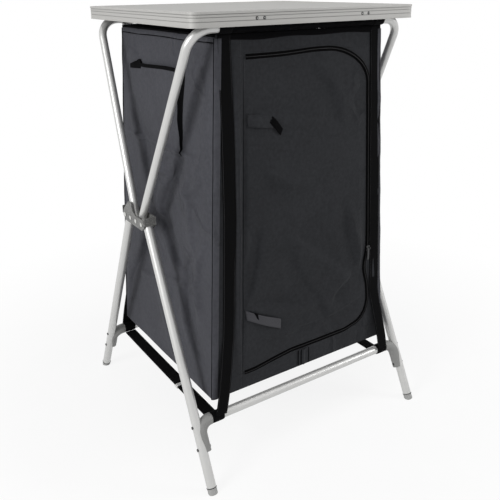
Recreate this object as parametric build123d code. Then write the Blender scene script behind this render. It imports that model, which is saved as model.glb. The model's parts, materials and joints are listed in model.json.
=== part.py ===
from build123d import *
import math
import os

# Folding camp kitchen unit: a lift-off tabletop on a four-tube folding frame, with a zipped fabric cupboard.
# Millimetres. The origin is on the floor under the middle, +X to the right of the door, +Y to the back, +Z up.

# Whole object
TOP_HEIGHT = 1040.0
TABLE_WIDTH = 586.0
TABLE_DEPTH = 530.0

# Tabletop: a board held in one extruded edge profile that is bent round the corners
EDGE_HEIGHT = 29.0
EDGE_WALL = 3.2
CORNER_RADIUS = 22.0
LIP_WIDTH = 8.0
LIP_THICKNESS = 1.4
LIP_PROUD = 0.9
BASE_LIP_HEIGHT = 2.0
BASE_LIP_PROUD = 0.5
GROOVE_DROPS = [5.2, 10.6, 18.4]
GROOVE_HEIGHT = 1.3
GROOVE_DEPTH = 1.0
BOARD_THICKNESS = 9.0
BOARD_CLEARANCE = 0.1
BOARD_DROP = 0.4

# Frame tubes
UPPER_TUBE_DIAMETER = 19.0
LOWER_TUBE_DIAMETER = 22.0
TUBE_WALL = 1.5
TOP_BEND_RADIUS = 48.0
TOP_BAR_DROP = 32.0
TOP_BAR_INSET = 33.0
TOP_CORNER_INSET = 17.0
TOP_BAR_JOINT_INSET = 15.0
SPIGOT_LENGTH = 20.0
FOOT_SPREAD = 320.0
FOOT_SPAN = 314.0
CROSSBAR_HEIGHT = 143.0
CROSSBAR_SETBACK = 24.0
TUBE_END_REACH = 9.0

# Hinge brackets, one on each side
HINGE_HEIGHT = 567.0
HINGE_SPAN = 309.0
PIVOT_PITCH = 30.5
PIN_DIAMETER = 6.0
PIN_HEAD_DIAMETER = 10.0
PIN_HEAD_THICKNESS = 1.8
BRACKET_GAP = 24.0
BRACKET_PLATE = 3.0
BRACKET_DROP = 15.0
BRACKET_RISE = 11.5
BRACKET_OVERHANG = 12.0
BRACKET_ROUND = 4.0
BRACKET_WING_RISE = 38.0
BRACKET_WING_START = 8.0
BRACKET_WING_WIDTH = 17.0
END_WALL_REACH = 13.5
END_WALL_THICKNESS = 3.0
END_WALL_DROP = 1.0
END_WALL_RISE = 18.0

# Elbows that join the crossbars to the legs
ELBOW_WALL = 2.8
ELBOW_SOCKET_DEPTH = 13.0
ELBOW_BEND_RADIUS = 28.0
ELBOW_ARM_LENGTH = 66.0
ELBOW_ARM_THICKNESS = 9.0
ELBOW_ARM_END_RADIUS = 10.3
ELBOW_SEAT_DEPTH = 1.0
ELBOW_RIVET_DROPS = [6.0, 57.0]
ELBOW_RIVET_BITE = 6.0
RIVET_DIAMETER = 4.0
RIVET_HEAD_DIAMETER = 7.0
RIVET_HEAD_THICKNESS = 1.6

# Feet
FOOT_HEAD_LENGTH = 13.0
FOOT_STEM_LENGTH = 26.0
FOOT_ROUND = 3.5

# Clips that hold the tabletop on the top bars
CLIP_OFFSET = 138.0
CLIP_WIDTH = 40.0
CLIP_REACH = 9.0
CLIP_RIVET_PITCH = 18.0
CLIP_RIVET_DROP = 14.8
CLIP_RIVET_DEPTH = 9.0

# Fabric cupboard
CLOTH = 2.0
BOX_TOP_DROP = 12.0
BOX_BOTTOM_RISE = 41.0
BOX_TOP_HALF_WIDTH = 220.0
BOX_BOTTOM_HALF_WIDTH = 264.0
BOX_TOP_SETBACK = 4.0
BOX_BOTTOM_SETBACK = 4.8
SIDE_WALL_DROP = 20.0
HEM_HEIGHT = 18.0
HEM_THICKNESS = 5.0
SHELF_THICKNESS = 3.0
SHELF_COUNT = 3
SLEEVE_WALL = 1.5
FOLD_COUNT = 4
FOLD_HEIGHTS = [0.0, 0.12, 0.3, 0.52, 0.7, 1.0]
FOLD_DEPTHS = [1.5, 4.5, 5.0, 2.5, 0.6, 0.4]

# Webbing
STRAP_WIDTH = 30.0
STRAP_THICKNESS = 1.8
STRAP_TOP_SETBACK = 2.0
STRAP_KNEE_HEIGHT = 330.0
STRAP_KNEE_SETBACK = 11.6
STRAP_ELBOW_GAP = 2.0
LOOP_WALL = 2.2
SIDE_STRAP_THICKNESS = 3.0
BUCKLE_WALL = 2.5
BUCKLE_LENGTH = 12.0
BUCKLE_PLACE = -80.0

# Door
DOOR_HINGE_TOP_SETBACK = 32.0
DOOR_HINGE_BOTTOM_SETBACK = 36.7
DOOR_STRAP_GAP = 6.2
DOOR_TOP_DROP = 47.0
DOOR_BOTTOM_RISE = 42.0
DOOR_TOP_RADIUS = 70.0
DOOR_BOTTOM_RADIUS = 90.0
DOOR_GAP = 0.6
ZIP_TAPE_WIDTH = 4.5
ZIP_TAPE_THICKNESS = 1.5
SLIDER_LENGTH = 14.0
SLIDER_WIDTH = 11.0
SLIDER_THICKNESS = 2.4
SLIDER_EAR_HEIGHT = 3.4
SLIDER_EAR_WIDTH = 2.0
SLIDER_EAR_LENGTH = 4.4
PULL_LENGTH = 30.0
PULL_WIDTH = 6.0
PULL_THICKNESS = 1.6
PULL_PIN_DIAMETER = 1.6
GARAGE_WIDTH = 32.0
GARAGE_HEIGHT = 30.0
GARAGE_RISE = 3.0
SLIDER_RISE = 224.0
TIE_LENGTH = 90.0
TIE_WIDTH = 22.0
TIE_THICKNESS = 1.5
TIE_TOP_DROP = 137.0
TIE_BOTTOM_RISE = 119.0

# Side pocket on the left wall
POCKET_REAR = 173.0
POCKET_FRONT = -85.0
POCKET_TOP_DROP = 89.0
POCKET_HEIGHT = 195.0
POCKET_DEPTH = 14.0
POCKET_CLOTH = 1.6
POCKET_BINDING_HEIGHT = 10.0
POCKET_BINDING_WALL = 1.2

# Fits
PIN_CLEARANCE = 0.05
SOCKET_CLEARANCE = 0.1
SOFT_CLEARANCE = 0.3
CLIP_CLEARANCE = 0.6
SEWN_GAP = 0.1
SPLIT_GAP = 0.3

# Places worked out from the sizes above
UPPER_RADIUS = UPPER_TUBE_DIAMETER / 2
LOWER_RADIUS = LOWER_TUBE_DIAMETER / 2
UPPER_PIVOT = PIVOT_PITCH / 2
LOWER_PIVOT = PIVOT_PITCH * 1.5
TOP_BAR_HEIGHT = TOP_HEIGHT - TOP_BAR_DROP
TOP_BAR_SPREAD = TABLE_DEPTH / 2 - TOP_BAR_INSET
TOP_SPAN = TABLE_WIDTH / 2 - TOP_CORNER_INSET
TOP_BAR_HALF_LENGTH = BOX_TOP_HALF_WIDTH - TOP_BAR_JOINT_INSET
SLEEVE_RADIUS = UPPER_RADIUS + SOFT_CLEARANCE + SLEEVE_WALL
UPPER_LOOP_RADIUS = UPPER_RADIUS + SOFT_CLEARANCE + LOOP_WALL
LOWER_LOOP_RADIUS = LOWER_RADIUS + SOFT_CLEARANCE + LOOP_WALL
BRACKET_INNER_FACE = HINGE_SPAN - BRACKET_GAP / 2
BRACKET_OUTER_FACE = HINGE_SPAN + BRACKET_GAP / 2


def mix(start, end, share):
    """The value a share of the way from start to end."""
    return start + (end - start) * share


def leg_point(z):
    """The point on the left front leg's axis at a height."""
    share = (HINGE_HEIGHT - z) / HINGE_HEIGHT
    return Vector(-mix(HINGE_SPAN, FOOT_SPAN, share), -mix(LOWER_PIVOT, FOOT_SPREAD, share), z)


# More places, from where the crossbars meet the legs
CROSSBAR_SPREAD = -leg_point(CROSSBAR_HEIGHT).Y
CROSSBAR_HALF_LENGTH = -leg_point(CROSSBAR_HEIGHT).X - CROSSBAR_SETBACK
BOX_TOP = TOP_BAR_HEIGHT - BOX_TOP_DROP
BOX_BOTTOM = CROSSBAR_HEIGHT + BOX_BOTTOM_RISE
BOX_TOP_HALF_DEPTH = TOP_BAR_SPREAD - BOX_TOP_SETBACK
BOX_BOTTOM_HALF_DEPTH = CROSSBAR_SPREAD - BOX_BOTTOM_SETBACK
SIDE_WALL_TOP = BOX_TOP - SIDE_WALL_DROP
STRAP_EDGE_TOP = BOX_TOP_HALF_WIDTH - STRAP_TOP_SETBACK
STRAP_EDGE_BOTTOM = CROSSBAR_HALF_LENGTH - ELBOW_SOCKET_DEPTH - STRAP_ELBOW_GAP
SIDE_STRAP_HEIGHT = CROSSBAR_HEIGHT - LOWER_LOOP_RADIUS + SIDE_STRAP_THICKNESS / 2
DOOR_TOP = BOX_TOP - DOOR_TOP_DROP
DOOR_BOTTOM = BOX_BOTTOM + DOOR_BOTTOM_RISE
SLIDER_HEIGHT = DOOR_BOTTOM + SLIDER_RISE
POCKET_TOP = BOX_TOP - POCKET_TOP_DROP
POCKET_BOTTOM = POCKET_TOP - POCKET_HEIGHT


def box_share(z):
    """How far down the fabric box a height lies, from 0 at its top to 1 at its bottom."""
    return (BOX_TOP - z) / (BOX_TOP - BOX_BOTTOM)


def half_width(z):
    """Outer half width of the fabric box at a height."""
    return mix(BOX_TOP_HALF_WIDTH, BOX_BOTTOM_HALF_WIDTH, box_share(z))


def half_depth(z):
    """Outer half depth of the fabric box at a height."""
    return mix(BOX_TOP_HALF_DEPTH, BOX_BOTTOM_HALF_DEPTH, box_share(z))


# The front face's own plane: local X to the right, local Y up the slope, local Z outwards.
FRONT_SLOPE = Vector(0, BOX_BOTTOM_HALF_DEPTH - BOX_TOP_HALF_DEPTH, BOX_TOP - BOX_BOTTOM).normalized()
FRONT_PLANE = Plane(
    origin=(0, -BOX_BOTTOM_HALF_DEPTH, BOX_BOTTOM),
    x_dir=(1, 0, 0),
    z_dir=Vector(1, 0, 0).cross(FRONT_SLOPE),
)
# The left face's own plane: local X to the front, local Y up the slope, local Z outwards.
SIDE_SLOPE = Vector(BOX_BOTTOM_HALF_WIDTH - BOX_TOP_HALF_WIDTH, 0, BOX_TOP - BOX_BOTTOM).normalized()
SIDE_PLANE = Plane(
    origin=(-BOX_BOTTOM_HALF_WIDTH, 0, BOX_BOTTOM),
    x_dir=(0, -1, 0),
    z_dir=Vector(0, -1, 0).cross(SIDE_SLOPE),
)


def front_rise(z):
    """Distance up the front face's slope for a height."""
    return (z - BOX_BOTTOM) / FRONT_SLOPE.Z


def side_rise(z):
    """Distance up the side face's slope for a height."""
    return (z - BOX_BOTTOM) / SIDE_SLOPE.Z


def group(*pieces):
    """Several separate solids as one node."""
    return Compound(children=[Solid(s.wrapped) for piece in pieces for s in piece.solids()])


def to_right(shape):
    """The mirror image of a left piece on the right."""
    return group(mirror(shape, about=Plane.YZ))


def to_rear(shape):
    """The mirror image of a front piece at the back."""
    return group(mirror(shape, about=Plane.XZ))


def rod(start, end, radius):
    """A solid round bar from one point to another."""
    start = Vector(*start)
    end = Vector(*end)
    run = end - start
    return extrude(Plane(origin=start, z_dir=run) * Circle(radius), run.length)


def pipe(start, end, radius, wall):
    """A round tube from one point to another."""
    start = Vector(*start)
    end = Vector(*end)
    run = end - start
    ring = Circle(radius) - Circle(radius - wall)
    return extrude(Plane(origin=start, z_dir=run) * ring, run.length)


def cross_rod(x_start, x_end, y, z, radius):
    """A solid round bar along X."""
    return rod((x_start, y, z), (x_end, y, z), radius)


def cross_ring(x_start, x_end, y, z, outer, inner):
    """A round tube along X."""
    return pipe((x_start, y, z), (x_end, y, z), outer, outer - inner)


def rounded_slab(inset, low, high):
    """A slab with the tabletop's rounded outline, drawn in by an inset."""
    outline = RectangleRounded(TABLE_WIDTH - 2 * inset, TABLE_DEPTH - 2 * inset, CORNER_RADIUS - inset)
    return extrude(Plane.XY.offset(low) * outline, high - low)


def make_board():
    """The tabletop's board: its edge is stepped down under the lip, and its middle is nearly level with it."""
    step = TOP_HEIGHT - LIP_THICKNESS - BOARD_CLEARANCE / 2
    board = rounded_slab(LIP_PROUD + EDGE_WALL + BOARD_CLEARANCE, step - BOARD_THICKNESS, step)
    return board + rounded_slab(LIP_WIDTH + BOARD_CLEARANCE, step - BOARD_THICKNESS, TOP_HEIGHT - BOARD_DROP)


def make_edge_frame():
    """The grooved edge profile, with a lip over the board and a ledge under it."""
    base = TOP_HEIGHT - EDGE_HEIGHT
    frame = rounded_slab(LIP_PROUD, base, TOP_HEIGHT)
    frame += rounded_slab(0, TOP_HEIGHT - GROOVE_DROPS[0], TOP_HEIGHT)
    frame += rounded_slab(LIP_PROUD - BASE_LIP_PROUD, base, base + BASE_LIP_HEIGHT)
    for drop in GROOVE_DROPS:
        middle = TOP_HEIGHT - drop
        band = rounded_slab(0, middle - GROOVE_HEIGHT / 2, middle + GROOVE_HEIGHT / 2)
        band -= rounded_slab(LIP_PROUD + GROOVE_DEPTH, middle - GROOVE_HEIGHT, middle + GROOVE_HEIGHT)
        frame -= band
    board_top = TOP_HEIGHT - LIP_THICKNESS
    board_base = board_top - BOARD_THICKNESS - BOARD_CLEARANCE
    frame -= rounded_slab(LIP_PROUD + EDGE_WALL, board_base, board_top)
    frame -= rounded_slab(LIP_WIDTH, board_top - 1, TOP_HEIGHT + 1)
    frame -= rounded_slab(LIP_WIDTH, board_base - LIP_THICKNESS - 1, board_base + 1)
    frame -= rounded_slab(LIP_PROUD + EDGE_WALL, base - 1, board_base - LIP_THICKNESS)
    return frame


def clip_rivet_places():
    """The middle of each clip rivet along X, for the clips on one side of the table."""
    steps = [-0.5, 0.5]
    return [side * CLIP_OFFSET + step * CLIP_RIVET_PITCH for side in (-1, 1) for step in steps]


def make_front_clip(x):
    """A seat over the front top bar, open below and inwards so that the top lifts off the bar."""
    bore = SLEEVE_RADIUS + CLIP_CLEARANCE
    back = -TABLE_DEPTH / 2 + LIP_PROUD + EDGE_WALL
    ceiling = TOP_HEIGHT - 2 * LIP_THICKNESS - BOARD_THICKNESS - BOARD_CLEARANCE
    bar_y = -TOP_BAR_SPREAD
    floor = TOP_HEIGHT - EDGE_HEIGHT
    outline = Polyline(
        (back, ceiling),
        (back, floor),
        (bar_y + CLIP_REACH, floor),
        (bar_y + CLIP_REACH, ceiling),
        close=True,
    )
    plane = Plane(origin=(x - CLIP_WIDTH / 2, 0, 0), x_dir=(0, 1, 0), z_dir=(1, 0, 0))
    clip = extrude(plane * make_face(outline), CLIP_WIDTH)
    reach = 4 * bore
    clip -= cross_rod(x - CLIP_WIDTH, x + CLIP_WIDTH, bar_y, TOP_BAR_HEIGHT, bore)
    clip -= Pos(x, bar_y + reach / 2, TOP_BAR_HEIGHT) * Box(2 * CLIP_WIDTH, reach, 2 * bore)
    for rivet_x in clip_rivet_places():
        hole = RIVET_DIAMETER / 2 + PIN_CLEARANCE
        height = TOP_HEIGHT - CLIP_RIVET_DROP
        clip -= rod((rivet_x, back - 1, height), (rivet_x, back + CLIP_RIVET_DEPTH, height), hole)
    return clip


def make_front_clip_rivets():
    """The rivets that fix the front clips through the edge profile."""
    face = -TABLE_DEPTH / 2 + LIP_PROUD
    height = TOP_HEIGHT - CLIP_RIVET_DROP
    tail = face + EDGE_WALL + CLIP_RIVET_DEPTH - SPLIT_GAP
    rivets = []
    for x in clip_rivet_places():
        rivet = rod((x, face, height), (x, tail, height), RIVET_DIAMETER / 2)
        head = rod((x, face - RIVET_HEAD_THICKNESS / 2, height), (x, face, height), RIVET_HEAD_DIAMETER / 2)
        rivets.append(rivet + head)
    return rivets


def drill_edge_frame(frame):
    """The holes for the clip rivets in the front and rear of the edge profile."""
    height = TOP_HEIGHT - CLIP_RIVET_DROP
    outside = TABLE_DEPTH / 2 + 1
    inside = TABLE_DEPTH / 2 - 2 * EDGE_WALL
    for x in clip_rivet_places():
        for side in (-1, 1):
            hole = rod((x, side * outside, height), (x, side * inside, height), RIVET_DIAMETER / 2 + PIN_CLEARANCE)
            frame -= hole
    return frame


def make_upper_tube():
    """The left tube of the upper front frame, from its pin up to the bend and into the top bar."""
    pivot = Vector(-HINGE_SPAN, -UPPER_PIVOT, HINGE_HEIGHT)
    corner = Vector(-TOP_SPAN, -TOP_BAR_SPREAD, TOP_BAR_HEIGHT)
    end = Vector(-TOP_BAR_HALF_LENGTH, -TOP_BAR_SPREAD, TOP_BAR_HEIGHT)
    run = (corner - pivot).normalized()
    start = pivot - run * TUBE_END_REACH
    path = FilletPolyline(start, corner, end, radius=TOP_BEND_RADIUS)
    ring = Circle(UPPER_RADIUS) - Circle(UPPER_RADIUS - TUBE_WALL)
    tube = sweep(Plane(origin=start, z_dir=run) * ring, path=path)
    hole = PIN_DIAMETER / 2 + PIN_CLEARANCE
    drill = cross_rod(-HINGE_SPAN - BRACKET_GAP, -HINGE_SPAN + BRACKET_GAP, pivot.Y, pivot.Z, hole)
    return tube - drill


def make_top_bar():
    """The front top bar, with a thinner spigot at each end inside the upper tubes."""
    y = -TOP_BAR_SPREAD
    half = TOP_BAR_HALF_LENGTH
    spigot = UPPER_RADIUS - TUBE_WALL - SOCKET_CLEARANCE
    bar = cross_ring(-half, half, y, TOP_BAR_HEIGHT, UPPER_RADIUS, spigot - TUBE_WALL)
    for side in (-1, 1):
        ends = sorted([side * half, side * (half + SPIGOT_LENGTH)])
        bar += cross_ring(ends[0], ends[1], y, TOP_BAR_HEIGHT, spigot, spigot - TUBE_WALL)
    return bar


def strap_line(z):
    """The inner edge along X, at a height, of the right front strap's straight run down from the top."""
    knee_edge = half_width(STRAP_KNEE_HEIGHT) - STRAP_KNEE_SETBACK
    share = (BOX_TOP - z) / (BOX_TOP - STRAP_KNEE_HEIGHT)
    return mix(STRAP_EDGE_TOP, knee_edge, share) - STRAP_WIDTH


def strap_inner(z):
    """The right front strap's inner edge along X at a height, spread outwards below its knee."""
    if z >= STRAP_KNEE_HEIGHT:
        return strap_line(z)
    share = (STRAP_KNEE_HEIGHT - z) / (STRAP_KNEE_HEIGHT - CROSSBAR_HEIGHT)
    return mix(strap_line(STRAP_KNEE_HEIGHT), STRAP_EDGE_BOTTOM - STRAP_WIDTH, share)


def make_top_sleeve():
    """The fabric sleeve round the front top bar, between the straps."""
    half = strap_inner(BOX_TOP) - SOFT_CLEARANCE
    inner = UPPER_RADIUS + SOFT_CLEARANCE
    return cross_ring(-half, half, -TOP_BAR_SPREAD, TOP_BAR_HEIGHT, SLEEVE_RADIUS, inner)


def make_strap_loops(inner_edge, y, z, radius):
    """A pair of webbing loops round a bar of a given radius, left and right."""
    inner = radius + SOFT_CLEARANCE
    loops = []
    for side in (-1, 1):
        ends = sorted([side * inner_edge, side * (inner_edge + STRAP_WIDTH)])
        loops.append(cross_ring(ends[0], ends[1], y, z, inner + LOOP_WALL, inner))
    return loops


def make_leg():
    """The left front leg, with its pin hole and the holes for the elbow rivets."""
    pivot = leg_point(HINGE_HEIGHT)
    foot = leg_point(0)
    run = (foot - pivot).normalized()
    top = pivot - run * TUBE_END_REACH
    leg = pipe(top, foot - run * FOOT_HEAD_LENGTH, LOWER_RADIUS, TUBE_WALL)
    hole = PIN_DIAMETER / 2 + PIN_CLEARANCE
    leg -= cross_rod(-HINGE_SPAN - BRACKET_GAP, -HINGE_SPAN + BRACKET_GAP, pivot.Y, pivot.Z, hole)
    for place in elbow_rivet_places():
        leg -= cross_rod(place.X - BRACKET_GAP, place.X + BRACKET_GAP, place.Y, place.Z,
                         RIVET_DIAMETER / 2 + PIN_CLEARANCE)
    return leg


def elbow_rivet_places():
    """Where the elbow rivets cross the left front leg's axis."""
    run = (leg_point(0) - leg_point(HINGE_HEIGHT)).normalized()
    start = leg_point(CROSSBAR_HEIGHT)
    return [start + run * drop for drop in ELBOW_RIVET_DROPS]


def make_foot():
    """The left front foot plug, cut flat where it stands on the floor."""
    pivot = leg_point(HINGE_HEIGHT)
    foot = leg_point(0)
    run = (foot - pivot).normalized()
    shoulder = foot - run * FOOT_HEAD_LENGTH
    beyond = foot + run * FOOT_ROUND
    head = rod(shoulder, beyond, LOWER_RADIUS)
    head = fillet(head.edges().sort_by(Axis.Z)[0], FOOT_ROUND)
    plug = LOWER_RADIUS - TUBE_WALL - SOCKET_CLEARANCE
    stem = pipe(shoulder - run * FOOT_STEM_LENGTH, shoulder, plug, TUBE_WALL)
    ground = Pos(foot.X, foot.Y, -LOWER_TUBE_DIAMETER) * Box(
        4 * LOWER_TUBE_DIAMETER, 4 * LOWER_TUBE_DIAMETER, 2 * LOWER_TUBE_DIAMETER
    )
    return head + stem - ground


def make_crossbar():
    """The front crossbar between the legs."""
    half = CROSSBAR_HALF_LENGTH
    return pipe((-half, -CROSSBAR_SPREAD, CROSSBAR_HEIGHT), (half, -CROSSBAR_SPREAD, CROSSBAR_HEIGHT),
                LOWER_RADIUS, TUBE_WALL)


def elbow_seat():
    """Where the lower elbow rivet's inner head sits along X, in a recess of the left arm's inner side."""
    return leg_point(CROSSBAR_HEIGHT).X + LOWER_RADIUS + ELBOW_ARM_THICKNESS - ELBOW_SEAT_DEPTH


def elbow_rivet_ends():
    """Where the elbow rivets' shanks end along X: one inside the left elbow's body, one at its arm's seat."""
    upper = elbow_rivet_places()[0]
    return [upper.X + LOWER_RADIUS + ELBOW_RIVET_BITE, elbow_seat()]


def elbow_body(bend_start):
    """The elbow's outer form in its own plane: X inwards and Y up along the leg, from their crossing."""
    collar = LOWER_RADIUS + ELBOW_WALL
    bend = Plane(origin=(bend_start, 0, 0), z_dir=(1, 0, 0)) * Circle(collar)
    turn = Axis((bend_start, -ELBOW_BEND_RADIUS, 0), (0, 0, 1))
    curve = revolve(bend, turn, 90)
    arm_inner = LOWER_RADIUS + ELBOW_ARM_THICKNESS
    sections = []
    for drop, radius in ((ELBOW_BEND_RADIUS, collar), (ELBOW_ARM_LENGTH, ELBOW_ARM_END_RADIUS)):
        sections.append(Plane(origin=(arm_inner - radius, -drop, 0), z_dir=(0, -1, 0)) * Circle(radius))
    return curve + loft(sections)


def make_elbow():
    """The left front elbow: a socket for the crossbar that bends down into an arm along the leg."""
    joint = leg_point(CROSSBAR_HEIGHT)
    down = (leg_point(0) - leg_point(HINGE_HEIGHT)).normalized()
    plane = Plane(origin=joint, x_dir=(1, 0, 0), z_dir=Vector(1, 0, 0).cross(-down))
    collar = LOWER_RADIUS + ELBOW_WALL
    bore = LOWER_RADIUS + SOCKET_CLEARANCE
    bend_start = LOWER_RADIUS + ELBOW_ARM_THICKNESS - collar + ELBOW_BEND_RADIUS
    mouth = -CROSSBAR_HALF_LENGTH + ELBOW_SOCKET_DEPTH
    elbow = plane * elbow_body(bend_start)
    elbow += cross_rod(joint.X + bend_start, mouth, joint.Y, joint.Z, collar)
    elbow -= cross_rod(-CROSSBAR_HALF_LENGTH - SPLIT_GAP, 0, joint.Y, joint.Z, bore)
    elbow -= rod(joint - down * 4 * collar, joint + down * 2 * ELBOW_ARM_LENGTH, bore)
    outside = Pos(joint.X - 2 * collar, joint.Y, joint.Z) * Box(4 * collar, 8 * collar, 8 * ELBOW_ARM_LENGTH)
    elbow -= outside
    hole = RIVET_DIAMETER / 2 + PIN_CLEARANCE
    for place, end in zip(elbow_rivet_places(), elbow_rivet_ends()):
        elbow -= cross_rod(place.X, end + PIN_CLEARANCE, place.Y, place.Z, hole)
    seat = RIVET_HEAD_DIAMETER / 2 + SPLIT_GAP
    return elbow - cross_rod(elbow_seat(), elbow_seat() + collar, place.Y, place.Z, seat)


def make_elbow_rivets():
    """The rivets through the left front leg into its elbow: the lower one has a head inside too."""
    head = RIVET_HEAD_DIAMETER / 2
    rivets = []
    for place, end in zip(elbow_rivet_places(), elbow_rivet_ends()):
        outer = place.X - LOWER_RADIUS - SOCKET_CLEARANCE
        shank = cross_rod(outer, end, place.Y, place.Z, RIVET_DIAMETER / 2)
        rivets.append(shank + cross_rod(outer - RIVET_HEAD_THICKNESS, outer, place.Y, place.Z, head))
    rivets[-1] += cross_rod(end, end + RIVET_HEAD_THICKNESS, place.Y, place.Z, head)
    return rivets


def bracket_outline(crest):
    """The side outline of one shell: a low plate along its pins, with a crest's points on top of it."""
    far = LOWER_PIVOT + BRACKET_OVERHANG
    rear = [
        (LOWER_PIVOT, -BRACKET_DROP),
        (far, -BRACKET_DROP / 3),
        (far, BRACKET_DROP / 3),
        (far - BRACKET_ROUND, BRACKET_RISE),
    ]
    front = [(-y, z) for y, z in reversed(rear)]
    face = make_face(Polyline(*rear, *crest, *front, close=True))
    return fillet(face.vertices(), BRACKET_ROUND)


def wing_crest():
    """The outer shell's raised wing over its two rear pins, from the rear to the front."""
    return [
        (BRACKET_WING_START + BRACKET_WING_WIDTH, BRACKET_WING_RISE),
        (BRACKET_WING_START, BRACKET_WING_RISE),
        (BRACKET_WING_START - BRACKET_ROUND, BRACKET_RISE + 2 * BRACKET_ROUND),
        (-UPPER_PIVOT, BRACKET_RISE),
    ]


def pivot_places():
    """The four pins of a bracket along Y."""
    return [-LOWER_PIVOT, -UPPER_PIVOT, UPPER_PIVOT, LOWER_PIVOT]


def bracket_plane(x):
    """The plane across X in which a bracket's outline is drawn, at its pins' height."""
    return Plane(origin=(x, 0, HINGE_HEIGHT), x_dir=(0, 1, 0), z_dir=(1, 0, 0))


def drill_bracket(shell):
    """The pin holes through one shell of the left bracket."""
    for y in pivot_places():
        shell -= cross_rod(-BRACKET_OUTER_FACE - 2 * BRACKET_PLATE, -BRACKET_INNER_FACE + 2 * BRACKET_PLATE,
                           y, HINGE_HEIGHT, PIN_DIAMETER / 2 + PIN_CLEARANCE)
    return shell


def make_bracket_outer():
    """The outer shell of the left bracket."""
    plane = bracket_plane(-BRACKET_OUTER_FACE - BRACKET_PLATE)
    return drill_bracket(extrude(plane * bracket_outline(wing_crest()), BRACKET_PLATE))


def make_bracket_inner():
    """The inner shell of the left bracket, with an end wall bent across beyond each lower tube."""
    near = LOWER_PIVOT + END_WALL_REACH
    far = near + END_WALL_THICKNESS
    height = END_WALL_DROP + END_WALL_RISE
    middle = HINGE_HEIGHT - END_WALL_DROP + height / 2
    plate = extrude(bracket_plane(-BRACKET_INNER_FACE) * bracket_outline([]), BRACKET_PLATE)
    plate += Pos(-BRACKET_INNER_FACE + BRACKET_PLATE / 2, 0, middle) * Box(BRACKET_PLATE, 2 * far, height)
    depth = BRACKET_GAP + 2 * BRACKET_PLATE
    wall = Pos(-HINGE_SPAN, -(near + far) / 2, middle) * Box(depth, END_WALL_THICKNESS, height)
    wall = fillet(wall.edges().filter_by(Axis.Y), BRACKET_ROUND / 2)
    return drill_bracket(plate + wall + to_rear(wall))


def make_bracket_pins():
    """The four headed pins of the left bracket."""
    outer = -BRACKET_OUTER_FACE - BRACKET_PLATE
    inner = -BRACKET_INNER_FACE + BRACKET_PLATE
    pins = []
    for y in pivot_places():
        pin = cross_rod(outer, inner, y, HINGE_HEIGHT, PIN_DIAMETER / 2)
        for low, high in [(outer - PIN_HEAD_THICKNESS, outer), (inner, inner + PIN_HEAD_THICKNESS)]:
            pin += cross_rod(low, high, y, HINGE_HEIGHT, PIN_HEAD_DIAMETER / 2)
        pins.append(pin)
    return pins


def fold_section(share):
    """A level cut through the left wall, with its folds as arcs, a share of the way up the wall."""
    z = mix(BOX_BOTTOM, SIDE_WALL_TOP, share)
    depth = FOLD_DEPTHS[FOLD_HEIGHTS.index(share)]
    outer = -half_width(z)
    reach = half_depth(z) - CLOTH - SOFT_CLEARANCE
    step = 2 * reach / FOLD_COUNT
    edges = []
    for skin in (0, CLOTH):
        for number in range(FOLD_COUNT):
            start = -reach + number * step
            swell = depth if number % 2 == 0 else -depth
            edges.append(ThreePointArc(
                (outer + skin, start, z),
                (outer + skin + swell, start + step / 2, z),
                (outer + skin, start + step, z),
            ))
    edges.append(Line((outer, -reach, z), (outer + CLOTH, -reach, z)))
    edges.append(Line((outer, reach, z), (outer + CLOTH, reach, z)))
    return make_face(Wire(edges))


def make_side_wall():
    """The left fabric wall, flat at the top and with broad folds further down."""
    return loft([fold_section(share) for share in FOLD_HEIGHTS], ruled=True)


def side_panel(low, high, out, thickness, margin):
    """A flat piece along the left face between two heights, its outer side out from the face."""
    corners = []
    for z, side in ((low, -1), (low, 1), (high, 1), (high, -1)):
        corners.append((side * (half_depth(z) - margin), side_rise(z)))
    face = SIDE_PLANE.offset(out - thickness) * make_face(Polyline(*corners, close=True))
    return extrude(face, thickness)


def make_side_hem():
    """The rolled hem along the top of the left wall."""
    margin = CLOTH + SOFT_CLEARANCE
    low = SIDE_WALL_TOP + SOFT_CLEARANCE
    hem = side_panel(low, low + HEM_HEIGHT, HEM_THICKNESS / 4, HEM_THICKNESS, margin)
    return fillet(hem.edges().filter_by(Axis.Y), HEM_THICKNESS / 3)


def make_shelf(z):
    """A fabric deck across the inside of the box at a height."""
    fold = max(FOLD_DEPTHS)
    half_x = half_width(z + SHELF_THICKNESS) - CLOTH - SOFT_CLEARANCE - fold * fold_share(z)
    half_y = half_depth(z + SHELF_THICKNESS) - CLOTH - SOFT_CLEARANCE
    return Pos(0, 0, z + SHELF_THICKNESS / 2) * Box(2 * half_x, 2 * half_y, SHELF_THICKNESS)


def fold_share(z):
    """How deep the wall's folds are at a height, as a share of the deepest."""
    share = (z - BOX_BOTTOM) / (SIDE_WALL_TOP - BOX_BOTTOM)
    for number in range(len(FOLD_HEIGHTS) - 1):
        low = FOLD_HEIGHTS[number]
        high = FOLD_HEIGHTS[number + 1]
        if low <= share <= high:
            depth = mix(FOLD_DEPTHS[number], FOLD_DEPTHS[number + 1], (share - low) / (high - low))
            return depth / max(FOLD_DEPTHS)
    return 1.0


def shelf_heights():
    """The underside heights of the floor and the shelves, evenly spaced."""
    step = (SIDE_WALL_TOP - BOX_BOTTOM) / SHELF_COUNT
    return [BOX_BOTTOM + CLOTH + number * step for number in range(SHELF_COUNT)]


def door_left(z):
    """The door's hinge line along X at a height."""
    setback = mix(DOOR_HINGE_TOP_SETBACK, DOOR_HINGE_BOTTOM_SETBACK, (DOOR_TOP - z) / (DOOR_TOP - DOOR_BOTTOM))
    return -strap_line(z) + setback


def door_right(z):
    """The zip's straight right run along X at a height."""
    return strap_line(z) - DOOR_STRAP_GAP


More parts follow.
